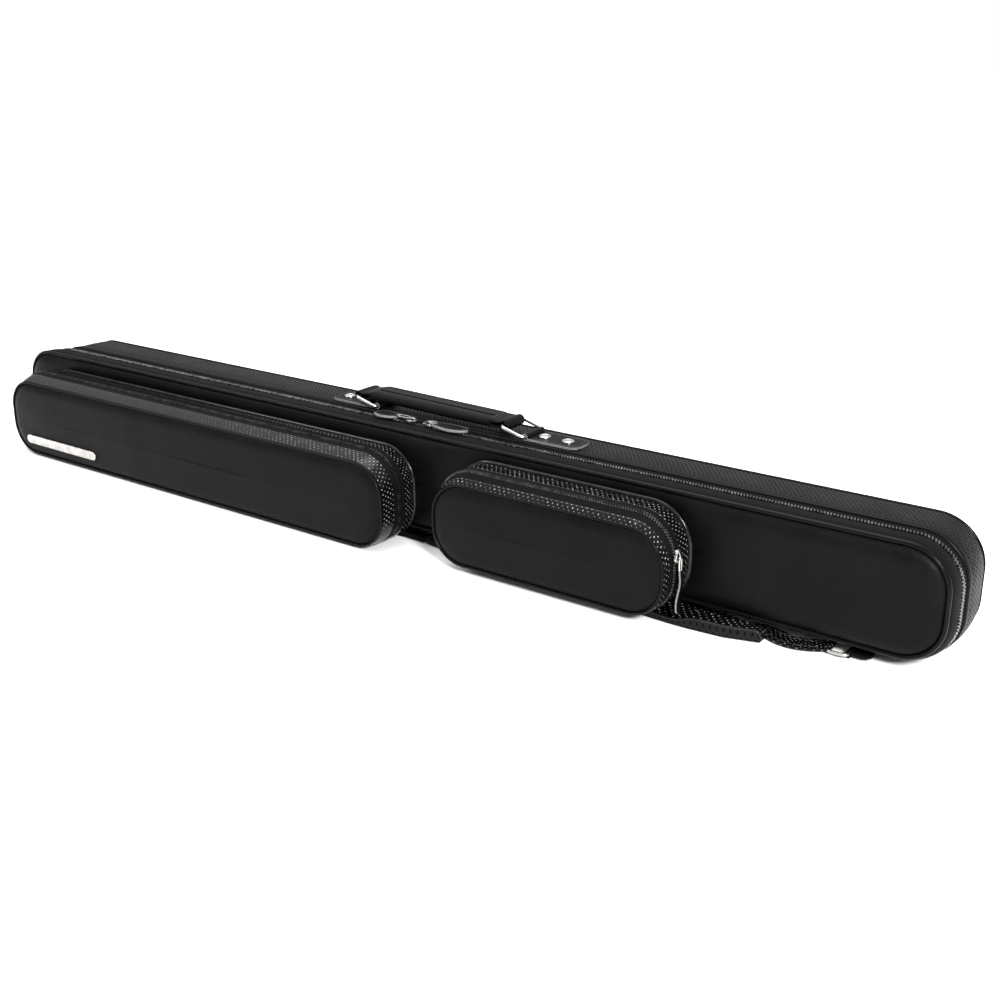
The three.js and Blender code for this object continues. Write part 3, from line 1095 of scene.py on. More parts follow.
@dataclass(frozen=True)
class Nickel:
    """Bright nickel plate with faint polishing lines and finger dulling."""

    slot: str = "nickel"
    name: str = "nickel_bright"
    dark: Triple = (0.36, 0.345, 0.33)
    light: Triple = (0.56, 0.54, 0.515)
    roughness: float = 0.18

    def material(self) -> bpy.types.Material:
        """Builds the material.

        Returns:
            The material.
        """
        t = Tree(self.name)
        dull = t.noise(5.0, 4.0)
        lines = t.noise(0.35, 2.0)
        t.set(Base_Color=t.blend(t.span(dull, 0.3, 0.7), self.dark, self.light), Metallic=1.0,
              Roughness=t.span(dull, 0.3, 0.75, self.roughness, self.roughness + 0.14),
              Normal=t.bump(lines, 0.006))
        return t.material


@dataclass(frozen=True)
class Lining:
    """Short velvet: cloudy nap with a soft sheen."""

    slot: str = "lining"
    dark: Triple = (0.012, 0.013, 0.016)
    light: Triple = (0.034, 0.036, 0.044)

    def material(self) -> bpy.types.Material:
        """Builds the material.

        Returns:
            The material.
        """
        t = Tree("lining_velvet")
        nap = t.noise(14.0, 5.0)
        pile = t.noise(0.4, 2.0)
        shade = t.math("ADD", t.math("MULTIPLY", nap, 0.6), t.math("MULTIPLY", pile, 0.4))
        t.set(Base_Color=t.blend(t.span(shade, 0.35, 0.65), self.dark, self.light), Roughness=0.92,
              Sheen_Weight=0.35, Sheen_Roughness=0.4, Specular_IOR_Level=0.2, Normal=t.bump(pile, 0.10))
        return t.material


@dataclass(frozen=True)
class Foam:
    """Velvet-covered foam: coarser nap over fine cells."""

    slot: str = "foam"
    dark: Triple = (0.020, 0.021, 0.025)
    light: Triple = (0.050, 0.052, 0.060)

    def material(self) -> bpy.types.Material:
        """Builds the material.

        Returns:
            The material.
        """
        t = Tree("foam_flocked")
        cell = t.cells(1.1)
        cloud = t.noise(22.0, 4.0)
        shade = t.math("ADD", t.math("MULTIPLY", cloud, 0.7), t.math("MULTIPLY", cell, 0.3))
        t.set(Base_Color=t.blend(t.span(shade, 0.3, 0.7), self.dark, self.light), Roughness=0.95,
              Sheen_Weight=0.25, Specular_IOR_Level=0.2, Normal=t.bump(cell, 0.14))
        return t.material


@dataclass(frozen=True)
class Board:
    """Pressed fibre board: flecks and short fibres."""

    slot: str = "board"
    dark: Triple = (0.060, 0.046, 0.033)
    light: Triple = (0.13, 0.105, 0.08)

    def material(self) -> bpy.types.Material:
        """Builds the material.

        Returns:
            The material.
        """
        t = Tree("board_fibre")
        fleck = t.noise(1.8, 6.0)
        t.set(Base_Color=t.blend(t.span(fleck, 0.35, 0.65), self.dark, self.light), Roughness=0.85,
              Normal=t.bump(fleck, 0.15))
        return t.material


@dataclass(frozen=True)
class Thread:
    """Waxed black sewing thread: twisted plies."""

    slot: str = "textile"
    dark: Triple = (0.010, 0.010, 0.011)
    light: Triple = (0.045, 0.044, 0.046)

    def material(self) -> bpy.types.Material:
        """Builds the material.

        Returns:
            The material.
        """
        t = Tree("thread_waxed_black")
        ply = t.noise(0.45, 3.0)
        t.set(Base_Color=t.blend(t.span(ply, 0.3, 0.7), self.dark, self.light), Roughness=0.5,
              Normal=t.bump(ply, 0.05))
        return t.material


class Finish(Enum):
    """The finishes of the case."""

    LEATHER = SmoothLeather()
    WELT = SmoothLeather(name="leather_tight_welt", roughness=0.24, relief=0.015, gloss=0.07)
    EDGE = RawEdge()
    RIBBED = RibbedVinyl()
    PATENT = PatentPerforated()
    PATENT_PLAIN = PatentPlain()
    TEXTILE = Textile()
    NICKEL = Nickel()
    DARK_NICKEL = Nickel("dark_nickel", "nickel_dark", (0.14, 0.135, 0.13), (0.36, 0.35, 0.34), 0.24)
    GUNMETAL = Nickel("dark_nickel", "nickel_gunmetal", (0.035, 0.034, 0.034), (0.13, 0.128, 0.125), 0.28)
    LINING = Lining()
    FOAM = Foam()
    BOARD = Board()
    THREAD = Thread()


MATERIALS: dict[Finish, bpy.types.Material] = {}


def material_of(finish: Finish) -> bpy.types.Material:
    """The finish's material, built once.

    Args:
        finish: the finish.

    Returns:
        The material.
    """
    if finish not in MATERIALS:
        MATERIALS[finish] = finish.value.material()
    return MATERIALS[finish]


def dress(obj: bpy.types.Object, body: str | None, *finishes: Finish, replaces: tuple[str, ...] = (),
          fill: float | None = None) -> bpy.types.Object:
    """Gives a finished piece its materials and body, and hides the CAD nodes it stands for.

    Args:
        obj: the piece.
        body: the body it rides on, or None to leave it on no body.
        finishes: one for each material number.
        replaces: CAD nodes that it stands for.
        fill: not used.

    Returns:
        The piece.
    """
    for finish in finishes:
        obj.data.materials.append(material_of(finish))
    if replaces:
        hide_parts(*replaces)
    if body is not None:
        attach(obj, body)
    log.info("%s: %d faces, %s", obj.name, len(obj.data.polygons), body or "bends")
    return obj


# ---- the case ---------------------------------------------------------------------------
@dataclass
class CaseShape:
    """Outside of the closed case: its sides at six depths, joined by straight lines."""

    depth: tuple[float, ...] = (0, 13, 26, 38, 52, 64)
    x0: tuple[float, ...] = (-435, -431, -425, -423, -421.5, -420)
    x1: tuple[float, ...] = (435, 437, 437, 437, 436.5, 435.5)
    z0: tuple[float, ...] = (9.5, 5.5, 3, 0, 0, 2)
    z1: tuple[float, ...] = (86, 86, 86, 86.6, 86.6, 86.6)
    r: tuple[float, ...] = (29, 31, 32, 33, 33, 32)

    def at(self, y: float | Array) -> dict[str, Array]:
        """The sides at one depth, or at one depth for each profile point."""
        return {key: np.interp(y, self.depth, getattr(self, key)) for key in ("x0", "x1", "z0", "z1", "r")}

    def shell(self, name: str, knots: list[Pair], count: int = 44,
              bands: tuple[float, ...] = ()) -> bpy.types.Object:
        """A closed profile of (depth, inset) knots carried round the case.

        Args:
            name: the piece's name.
            knots: the profile, outside first, then back along the inside.
            count: points on the profile.
            bands: shares of the profile at which the next material begins.

        Returns:
            The object.
        """
        profile = smooth_profile(knots, count, closed=True)
        return ring(name, self.at(profile[:, 0]), profile, bands=tuple(int(b * count) for b in bands))


CASE = CaseShape()


@dataclass
class Zip:
    """Teeth of one zip: two rows that mesh, each on its own tape."""

    pitch: float = 2.2
    tooth: float = 1.0
    wide: float = 1.6
    high: float = 1.6

    def teeth(self, name: str, line: tuple[Array, Array], offset: float) -> bpy.types.Object:
        """One row of teeth along a line.

        Args:
            name: the piece's name.
            line: points and outward directions.
            offset: the first tooth's place along the line.

        Returns:
            The object.
        """
        shape, faces = lump(self.tooth, self.wide, self.high, 0.72)
        at, axes = along_path(*line, self.pitch, offset)
        return repeat_shape(name, shape, faces, at, axes)


@dataclass
class Slider:
    """A zip slider: body, bridge and the link that carries its leather tab."""

    length: float = 9.0
    width: float = 8.4
    thick: float = 2.4

    def body(self, name: str, centre: Triple, along: Triple,
             out: Triple) -> bpy.types.Object:
        """A waisted slab with an arched bridge on it.

        Args:
            name: the piece's name.
            centre: the middle of the slab's inner face.
            along: the direction in which it closes the zip.
            out: away from the case.

        Returns:
            The object.
        """
        a, o, c = (np.array(v, float) for v in (along, out, centre))
        t = np.linspace(-0.5, 0.5, 25)
        middle = c + np.outer(t * self.length, a) + o * self.thick / 2
        ends = rounded_ends(t, -0.5, 0.5, 0.12, 0.3)
        waist = self.width / 2 * (0.80 + 0.2 * np.cos(2 * math.pi * (t + 0.18))) * ends
        across = tuple(np.cross(a, o))
        slab = strap(name + "_slab", middle, waist, self.thick / 2 * 0.96, 7.0, 24, across)
        arch = np.linspace(0, math.pi, 21)
        rise = self.thick * 0.9 + np.sin(arch) * 1.5
        bow = c + np.outer(np.cos(arch) * self.length * 0.36, a) + np.outer(rise, o)
        bridge = strap(name + "_bridge", bow, 1.3, 0.42, 4.0, 12, across)
        return join(name, [slab, bridge])

    def link(self, name: str, start: Triple, end: Triple,
             wide: Triple, half: float) -> bpy.types.Object:
        """A closed wire link: two side bars that meet in round ends.

        Args:
            name: the piece's name.
            start: the middle of the end on the slider.
            end: the middle of the far end.
            wide: the direction in which the link is wide.
            half: half its outside width.

        Returns:
            The object.
        """
        a, b, w = (np.array(v, float) for v in (start, end, wide))
        t = turns(72)
        long = (b - a) / 2
        reach = np.linalg.norm(long)
        flat = long / reach
        squarish = signed_power(np.cos(t), 0.55)
        path = (a + b) / 2 + np.outer(squarish * (reach - 0.7), flat) + np.outer(np.sin(t) * (half - 0.7), w)
        return strap(name, path, 0.62, 0.75, 3.0, 12, tuple(np.cross(flat, w)), closed=True)


@dataclass
class Tray:
    """Back half of the case: ribbed wall with a smooth band, bound edge, zip half and back panel."""

    band_back: float = 33.2
    front: float = 28.0
    back: float = 60.0
    wall: float = 2.8
    back_seam: float = 61.5
    puff: float = 3.4
    zip: Zip = field(default_factory=Zip)

    def build(self) -> None:
        """Makes and dresses the tray's pieces."""
        self.wall_and_edges()
        self.back_panel()
        self.zip_half()
        self.hinge()

    def wall_and_edges(self) -> None:
        """Side wall with lining inside, bound front edge, smooth band and its stitches."""
        front, seam, wall = self.front, self.band_back, self.wall
        knots = [(seam + 0.1, 1.0), (seam + 0.25, 0.25), (36, -0.15), (41, -0.45), (48, -0.5), (55, -0.35),
                 (58.5, 0.0), (59.9, 0.9), (self.back, 1.8), (59.6, wall), (48, wall + 0.1), (38, wall + 0.1),
                 (seam + 0.2, wall)]
        dress(CASE.shell("tray_wall_ribbed", knots, 60, (0.56,)), "tray", Finish.RIBBED, Finish.LINING,
              replaces=("tray_wall",))
        band = [(front + 0.1, 0.8), (front + 0.5, -0.1), (30.4, -0.45), (32.3, -0.2), (seam - 0.25, 0.4),
                (seam - 0.1, 1.2), (seam - 0.3, wall - 0.1), (30.5, wall), (front + 0.3, wall - 0.1)]
        dress(CASE.shell("tray_band", band, 36, (0.62,)), "tray", Finish.LEATHER, Finish.LINING)
        edge = [(25.7, 0.7), (25.9, -0.2), (26.8, -0.85), (27.6, -0.2), (27.8, 0.8), (27.6, 1.7), (25.9, 1.7)]
        dress(CASE.shell("tray_bound_edge", edge, 24), "tray", Finish.WELT, replaces=("tray_binding",))
        dress(stitches("tray_band_stitches", *run_round(CASE.at(32.1), 32.1, 0.12)), "tray", Finish.THREAD)

    def back_panel(self) -> None:
        """Stuffed leather back with a corded seam round it."""
        back = panel("tray_back_panel", CASE.at(self.back_seam), 2.0, 60.4, self.back_face)
        dress(back, "tray", Finish.LEATHER, replaces=("back_panel",), fill=0.5)
        cord = circle(1.5, 14) + (61.6, 1.1)
        dress(ring("tray_back_piping", CASE.at(self.back_seam), cord), "tray", Finish.WELT)

    def back_face(self, x: Array, z: Array, depth: Array) -> Array:
        """Y of the back: rises quickly from the seam, with slow unevenness."""
        rise = 1 - np.exp(-depth / 6.5)
        return 61.4 + self.puff * rise + 0.25 * ripple(x, z, 110.0) * rise

    def zip_half(self) -> None:
        """Zip tape and teeth on the tray's side, over the top and both ends."""
        tape = np.array([(18.7, 1.1), (19.2, 0.7), (22.0, 0.55), (25.3, 0.45), (25.8, 0.9), (25.5, 1.7),
                         (19.0, 1.8)])
        dress(open_band("tray_zip_tape_cloth", CASE.at(tape[:, 0]), tape), "tray", Finish.TEXTILE,
              replaces=("tray_zip_tape",))
        dress(self.zip.teeth("tray_zip_teeth", run_round(CASE.at(18.1), 18.15, 1.2), 0.95), "tray",
              Finish.DARK_NICKEL, replaces=("tray_zip_chain",))

    def hinge(self) -> None:
        """Cloth along the bottom that joins tray and lid."""
        y = np.linspace(13.6, 25.4, 13)
        z = np.interp(y, CASE.depth, CASE.z0) + 1.3
        upper, lower = np.stack([y, z + 0.35], -1), np.stack([y, z - 0.35], -1)[::-1]
        section = np.concatenate([upper, lower])
        cloth = grid("hinge_cloth", along_x(np.linspace(-398, 404, 120), section), close_v=False)
        dress(cloth, None, Finish.TEXTILE, replaces=("hinge_strip",))
        DATUM.spot(0, 20.5, 4)
        DATUM.spot(0, 16.0, 4)
        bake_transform(cloth)


@dataclass
class CueBed:
    """Velvet bed in the tray with three channels and two elastic straps."""

    x0: float = -399.0
    x1: float = 411.0
    z0: float = 7.2
    z1: float = 78.8
    ridges: Pair = (34.0, 52.0)

    def build(self) -> None:
        """Makes and dresses the bed, its ridges and its straps."""
        self.bed()
        for name, z in zip(("lower", "upper"), self.ridges):
            self.ridge(name, z)
        for name, x in (("left", -230.0), ("right", 230.0)):
            self.hold_strap(name, x)

    def bed(self) -> None:
        """A pad whose face dips in each channel: Y = 55.9 + 1.7 sin(pi * place across the channel)."""
        z = np.linspace(self.z0, self.z1, 73)
        marks = np.array([self.z0, *self.ridges, self.z1])
        channel = np.clip(np.searchsorted(marks, z, side="right") - 1, 0, 2)
        place = (z - marks[channel]) / (marks[channel + 1] - marks[channel])
        face = 55.9 + 1.7 * np.sin(math.pi * np.clip(place, 0, 1))
        section = np.concatenate([np.stack([face, z], -1), [(59.9, self.z1), (59.9, self.z0)]])
        x = np.linspace(self.x0, self.x1, 180)
        ends = rounded_ends(x, self.x0, self.x1, 3.0, 0.3)
        points = along_x(x, section)
        points[..., 1] = 59.9 - (59.9 - section[:, 0]) * ends[:, None]
        dress(grid("cue_bed_pad", points, close_v=False), "tray", Finish.FOAM, replaces=("cue_bed",),
              fill=0.5)

    def ridge(self, name: str, z: float) -> None:
        """A soft ridge between two channels, with round ends and a rounded top.

        Args:
            name: lower or upper.
            z: its height.
        """
        x = np.linspace(self.x0 + 0.5, self.x1 - 0.5, 160)
        path = np.stack([x, np.full_like(x, 44.6), np.full_like(x, z)], -1)
        high = 11.4 * rounded_ends(x, x[0], x[-1], 9.0, 0.4)
        body = strap(f"cue_ridge_{name}", path, high, 1.55, 3.4, 28)
        dress(body, "tray", Finish.LINING, replaces=(f"cue_divider_{name}",), fill=0.8)

    def hold_strap(self, name: str, x: float) -> None:
        """An elastic strap across the channels, bowed a little, with a stitched box at each end.

        Args:
            name: left or right.
            x: its middle.
        """
        z = np.linspace(5.8, 80.4, 60)
        bow = 32.0 - 0.9 * np.sin(math.pi * (z - z[0]) / (z[-1] - z[0]))
        path = np.stack([np.full_like(z, x), bow, z], -1)
        band = strap(f"hold_band_{name}", path, 19.8, 0.62, 6.0, 28, (1.0, 0.0, 0.0))
        dress(band, "tray", Finish.TEXTILE, replaces=(f"hold_strap_{name}",))
        rows = []
        for level in (9.0, 15.0, 71.0, 77.0):
            line = np.stack([np.linspace(x - 17, x + 17, 20), np.full(20, np.interp(level, z, bow) - 0.62),
                             np.full(20, level)], -1)
            rows.append(stitches("row", line, np.broadcast_to((0.0, -1.0, 0.0), line.shape).astype(float)))
        dress(join(f"hold_band_stitches_{name}", rows), "tray", Finish.THREAD)


def pocket_zip() -> Zip:
    """The pockets' finer zip."""
    return Zip(2.0, 0.9, 1.45, 1.4)


def pocket_slider() -> Slider:
    """The pockets' smaller slider."""
    return Slider(8.6, 8.0, 2.3)


@dataclass
class Pocket:
    """A box pocket on the lid: fixed rear half, zip half way, and a front half that drops open."""

    name: str
    body: str
    front_y: float
    zip_y: float
    side: int
    slider_z: float
    front: Rect
    zip_rect: Rect
    rear: Rect
    wall: float = 1.7
    tape: float = 5.4
    zip: Zip = field(default_factory=pocket_zip)
    slider: Slider = field(default_factory=pocket_slider)
    loop: Loop = field(init=False)

    def build(self) -> None:
        """Makes and dresses the pocket's pieces."""
        self.loop = Loop(int((self.front["x1"] - self.front["x0"]) / 1.8), 10, 14)
        self.rear_half()
        self.front_half()
        self.panel()
        self.zip_rows()
        self.hinge()
        self.pull()

    def between(self, a: Rect, b: Rect, share: Array) -> dict[str, Array]:
        """Sides part of the way from one rectangle to another."""
        return {k: a[k] + (b[k] - a[k]) * share for k in a}

    def tube(self, name: str, a: tuple[Rect, float], b: tuple[Rect, float],
             bulge: float) -> bpy.types.Object:
        """A soft wall between two rectangles: tape, then pierced vinyl, then lining inside.

        Args:
            name: the piece's name.
            a: rectangle and depth at the zip.
            b: rectangle and depth at the far edge.
            bulge: how far the wall swells, as bulge * sin(pi * share).

        Returns:
            The object.
        """
        run = abs(b[1] - a[1])
        cut = self.tape / run
        share = np.unique(np.concatenate([np.linspace(0, cut, 8), np.linspace(cut, 1, 14)]))
        seam = 0.45 * np.exp(-((share * run - self.tape) / 0.45) ** 2)
        tape_in = 0.35 * (share * run < self.tape)
        outer = seam + tape_in - bulge * np.sin(math.pi * share)
        inset = np.concatenate([[0.8], outer, [0.8], outer[::-1] * 0.3 + self.wall])
        share = np.concatenate([[0.0], share, [1.0], share[::-1]])
        depth = a[1] + (b[1] - a[1]) * share
        return ring(name, self.between(a[0], b[0], share), np.stack([depth, inset], -1), self.loop, (9, 23))

    def rear_half(self) -> None:
        """Bound flange sewn to the lid and the fixed rear wall."""
        rear_edge = (self.rear, -3.2)
        wall = self.tube(f"{self.name}_wall_rear", (self.zip_rect, self.zip_y + 0.35), rear_edge, 0.35)
        dress(wall, "lid", Finish.TEXTILE, Finish.PATENT, Finish.LINING, replaces=(f"{self.name}_wall",))
        rim = grown(self.rear, 2.3)
        rim["z0"] = self.rear["z0"] + 0.6
        knots = [(-2.0, 0.3), (-2.9, -0.05), (-3.7, 0.5), (-4.1, 1.5), (-4.0, 2.6), (-3.0, 3.4), (-1.9, 2.8)]
        profile = smooth_profile(knots, 20, closed=True)
        dress(ring(f"{self.name}_bound_flange", rim, profile, self.loop), "lid", Finish.PATENT_PLAIN,
              replaces=(f"{self.name}_flange",))

    def front_half(self) -> None:
        """Perforated gusset and the corded seam at its front."""
        edge = (self.front, self.front_y + 3.0)
        wall = self.tube(f"{self.name}_gusset_front", (self.zip_rect, self.zip_y - 0.05), edge, 0.5)
        dress(wall, self.body, Finish.TEXTILE, Finish.PATENT, Finish.LINING,
              replaces=(f"{self.name}_gusset",))
        cord = circle(1.05, 16) + (self.front_y + 2.0, 0.95)
        dress(ring(f"{self.name}_welt", self.front, cord, self.loop), self.body, Finish.WELT,
              replaces=(f"{self.name}_piping",))

    def bar_rect(self) -> Rect:
        """Where the metal bar lies on the panel."""
        left = self.front["x0"] + 20
        return {"x0": left, "x1": left + 96, "z0": 12.0, "z1": 20.0, "r": 4.0}

    def face(self, x: Array, z: Array, depth: Array) -> Array:
        """Y of the padded face: a rolled edge that swells into a low crown, flat under the bar.

        Args:
            x: X of the points.
            z: Z of the points.
            depth: distance from the seam.

        Returns:
            Y of each point.
        """
        rise = rolled(depth, 8.5)
        crown = 1.1 * np.clip(depth / 30.0, 0, 1) ** 0.7
        y = self.front_y + 3.2 - (3.5 + crown) * rise - 0.28 * ripple(x, z, 90.0) * rise
        pucker = 0.22 * np.exp(-depth / 3.0) * np.sin(2 * math.pi * (x + z) / 11.0) * rise
        if self.side < 0:
            near = np.exp(-np.clip(apart(self.bar_rect(), x, z), 0, None) / 7.0)
            y = y + np.maximum(self.front_y - 0.2 - y, 0) * near
        return y + pucker

    def panel(self) -> None:
        """Padded leather front."""
        made = panel(f"{self.name}_front_pad", self.front, 1.7, self.front_y + 3.4, self.face, 40, self.loop)
        dress(made, self.body, Finish.LEATHER, replaces=(f"{self.name}_panel",), fill=0.6)

    def zip_rows(self) -> None:
        """Teeth on both halves, over the top and both ends."""
        rear = run_round(self.zip_rect, self.zip_y + 0.85, 0.9, self.loop)
        front = run_round(self.zip_rect, self.zip_y - 0.55, 0.9, self.loop)
        dress(self.zip.teeth(f"{self.name}_teeth_rear", rear, 0.9), "lid", Finish.GUNMETAL)
        dress(self.zip.teeth(f"{self.name}_teeth_front", front, 0.9 + self.zip.pitch / 2), self.body,
              Finish.GUNMETAL)

    def hinge(self) -> None:
        """Cloth inside the bottom that joins both halves."""
        low = self.zip_rect["z0"] + self.wall + 0.5
        y = np.linspace(self.zip_y - 4.5, self.zip_y + 4.5, 11)
        height = np.repeat([low + 0.7, low], 11)
        section = np.stack([np.concatenate([y, y[::-1]]), height], -1)
        x = np.linspace(self.zip_rect["x0"] + 32, self.zip_rect["x1"] - 32, 60)
        made = grid(f"{self.name}_hinge_cloth", along_x(x, section), close_v=False)
        dress(made, None, Finish.TEXTILE)
        start, end = DATUM.spot(0, self.zip_y + 2, 0), DATUM.spot(0, self.zip_y - 2, 0)
        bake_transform(made)

    def pull(self) -> None:
        """Slider on the pocket's end, with its metal link and hanging leather tab."""
        short = self.name.replace("pocket_", "")
        x = self.zip_rect["x1"] if self.side > 0 else self.zip_rect["x0"]
        y, z, s = self.zip_y, self.slider_z, float(self.side)
        made = self.slider.body(f"{self.name}_slider_body", (x + s * 0.5, y, z), (0, 0, 1), (s, 0, 0))
        dress(made, f"{short}_slider", Finish.NICKEL, replaces=(f"{self.name}_slider",))
        out = x + s * 4.0
        link = self.slider.link(f"{self.name}_link", (out, y, z + 0.4), (out, y, z - 11), (0, 1, 0), 2.1)
        dress(link, f"{short}_pull", Finish.NICKEL, replaces=(f"{self.name}_pull",))
        t = np.linspace(0, 1, 50)
        high = z - 9.4 - t * 30.0
        path = np.stack([out + s * 0.7 * np.sin(2 * math.pi * t), y + 0.8 * np.sin(1.6 * math.pi * t),
                         high], -1)
        half = 2.6 * (0.75 + 0.25 * t) * rounded_ends(high, high[0], high[-1], 2.6, 0.25)
        tab = strap(f"{self.name}_leather_tab", path, half, 0.7, 5.0, 28, (0.0, 1.0, 0.0), edge_from=0.88)
        dress(tab, f"{short}_pull", Finish.LEATHER, Finish.EDGE, replaces=(f"{self.name}_tab",))


@dataclass
class Lid:
    """Front half of the case: padded panel, thick welt, cloth gusset and its half of the zip."""

    pockets: list[Pocket]
    wall: float = 2.8
    puff: float = 5.0
    zip: Zip = field(default_factory=Zip)

    def build(self) -> None:
        """Makes and dresses the lid's pieces."""
        face = CASE.at(0.0)
        made = panel("lid_front_pad", face, 3.0, 2.6, self.face, 44)
        dress(made, "lid", Finish.LEATHER, replaces=("lid_panel",), fill=0.55)
        knots = [(2.7, 1.4), (2.3, 0.3), (1.2, -0.2), (0.0, 0.1), (-0.8, 0.9), (-0.8, 2.0), (0.0, 2.8),
                 (1.3, 3.0), (2.5, 2.6)]
        profile = smooth_profile(knots, 28, closed=True)
        dress(ring("lid_welt", face, profile), "lid", Finish.WELT, replaces=("lid_piping",))
        gusset = [(3.0, 1.2), (3.3, 0.35), (5.0, -0.35), (8.5, -0.6), (11.5, -0.4), (12.8, 0.2), (13.0, 1.2),
                  (12.6, self.wall), (8, self.wall + 0.1), (3.4, self.wall)]
        dress(CASE.shell("lid_gusset", gusset, 46, (0.60,)), "lid", Finish.TEXTILE, Finish.LINING,
              replaces=("lid_wall",))
        tape = [(13.15, 1.2), (13.4, 0.45), (14.6, 0.5), (15.9, 0.75), (16.2, 1.2), (15.8, 1.9), (13.5, 1.9)]
        dress(CASE.shell("lid_zip_tape_cloth", tape, 24), "lid", Finish.TEXTILE, replaces=("lid_zip_tape",))
        dress(self.zip.teeth("lid_zip_teeth", run_round(CASE.at(16.6), 16.55, 1.2), 2.05), "lid",
              Finish.DARK_NICKEL, replaces=("lid_zip_chain",))
        lining = panel("lid_lining_pad", CASE.at(6.0), 4.2, 5.1, self.lining_face, 26)
        dress(lining, "lid", Finish.LINING, replaces=("lid_lining",), fill=0.4)

    def face(self, x: Array, z: Array, depth: Array) -> Array:
        """Y of the lid's padded front, drawn in round each pocket and flat behind it.

        rise = rolled edge * (1 - exp(-distance from the pockets / 10)).

        Args:
            x: X of the points.
            z: Z of the points.
            depth: distance from the seam.

        Returns:
            Y of each point.
        """
        near = np.minimum.reduce([apart(grown(p.rear, 2.3), x, z) for p in self.pockets])
        free = 1 - np.exp(-np.clip(near, 0, None) / 10.0)
        edge = rolled(depth, 11.0)
        wave = 0.30 * ripple(x, z, 120.0)
        pucker = 0.2 * np.exp(-depth / 4.0) * edge * np.sin(2 * math.pi * (x - z) / 12.5)
        return 1.3 - 2.6 * edge - (self.puff - 1.2) * edge * free - wave * edge * free + pucker

    def lining_face(self, x: Array, z: Array, depth: Array) -> Array:
        """Y of the lid's velvet, seen from inside."""
        return 5.6 + 1.1 * (1 - np.exp(-depth / 8.0)) + 0.15 * ripple(x, z, 70.0)


@dataclass
class MainSlider:
    """Slider on the case's zip with a short link and a wide leather tab."""

    name: str
    x: float
    side: int
    tab_from: float
    tab_to: float
    base: float = 86.6
    y: float = 17.35
    tab_y: float = 16.15
    wide: float = 6.8
    slider: Slider = field(default_factory=Slider)

    def build(self) -> None:
        """Makes and dresses slider, link, tab and the tab's stitches."""
        s = float(self.side)
        body, pull = f"{self.name}_slider", f"{self.name}_pull"
        made = self.slider.body(f"main_slider_body_{self.name}", (self.x, self.y, self.base + 0.05),
                                (-s, 0, 0), (0, 0, 1))
        dress(made, body, Finish.DARK_NICKEL, replaces=(f"main_slider_{self.name}",))
        high = self.base + 3.35
        end = self.x + s * (self.tab_from + 2.4)
        link = self.slider.link(f"main_link_{self.name}", (self.x, self.y, high), (end, self.y, high),
                                (0, 1, 0), 2.8)
        dress(link, pull, Finish.DARK_NICKEL, replaces=(f"main_pull_{self.name}",))
        start, stop = self.x + s * (self.tab_from + 0.4), self.x + s * self.tab_to
        x = np.linspace(start, stop, 70)
        share = np.linspace(0, 1, 70)
        sag = self.base + 2.75 - 0.35 * np.sin(math.pi * share)
        path = np.stack([x, np.full(70, self.tab_y), sag], -1)
        leaf = np.sqrt(np.clip(1 - (np.clip(share - 0.55, 0, None) / 0.45) ** 2, 0.02, 1))
        half = self.wide * leaf * (0.55 + 0.45 * np.sin(math.pi / 2 * np.clip(share / 0.55, 0, 1)))
        tab = strap(f"main_leather_tab_{self.name}", path, half, 1.02, 7.0, 32, edge_from=0.90)
        dress(tab, pull, Finish.LEATHER, Finish.EDGE, replaces=(f"main_tab_{self.name}",))
        t = np.linspace(0, 2 * math.pi, 160)
        seam_x = (start + stop) / 2 + (abs(stop - start) / 2 - 2.4) * np.cos(t)
        reach = np.interp(seam_x * s, x * s, half) - 1.7
        line = np.stack([seam_x, self.tab_y + reach * signed_power(np.sin(t), 0.25),
                         np.interp(seam_x * s, x * s, sag) + 1.0], -1)
        thread = stitches(f"main_tab_stitches_{self.name}", line, upward(160), 2.6, 1.8, 0.5)
        dress(thread, pull, Finish.THREAD)


@dataclass
class NameBar:
    """Blank metal bar with round ends on the large pocket."""

    x0: float
    y: float
    z: float = 16.0
    long: float = 96.0
    half: float = 3.9

    def build(self) -> None:
        """Makes and dresses the bar."""
        x = np.linspace(self.x0, self.x0 + self.long, 120)
        path = np.stack([x, np.full(120, self.y - 0.85), np.full(120, self.z)], -1)
        wide = self.half * rounded_ends(x, x[0], x[-1], self.half, 0.12)
        plate = strap("name_bar_plate", path, wide, 0.58, 9.0, 36, (0.0, 0.0, 1.0))
        dress(plate, "large_cover", Finish.NICKEL, replaces=("name_bar",))


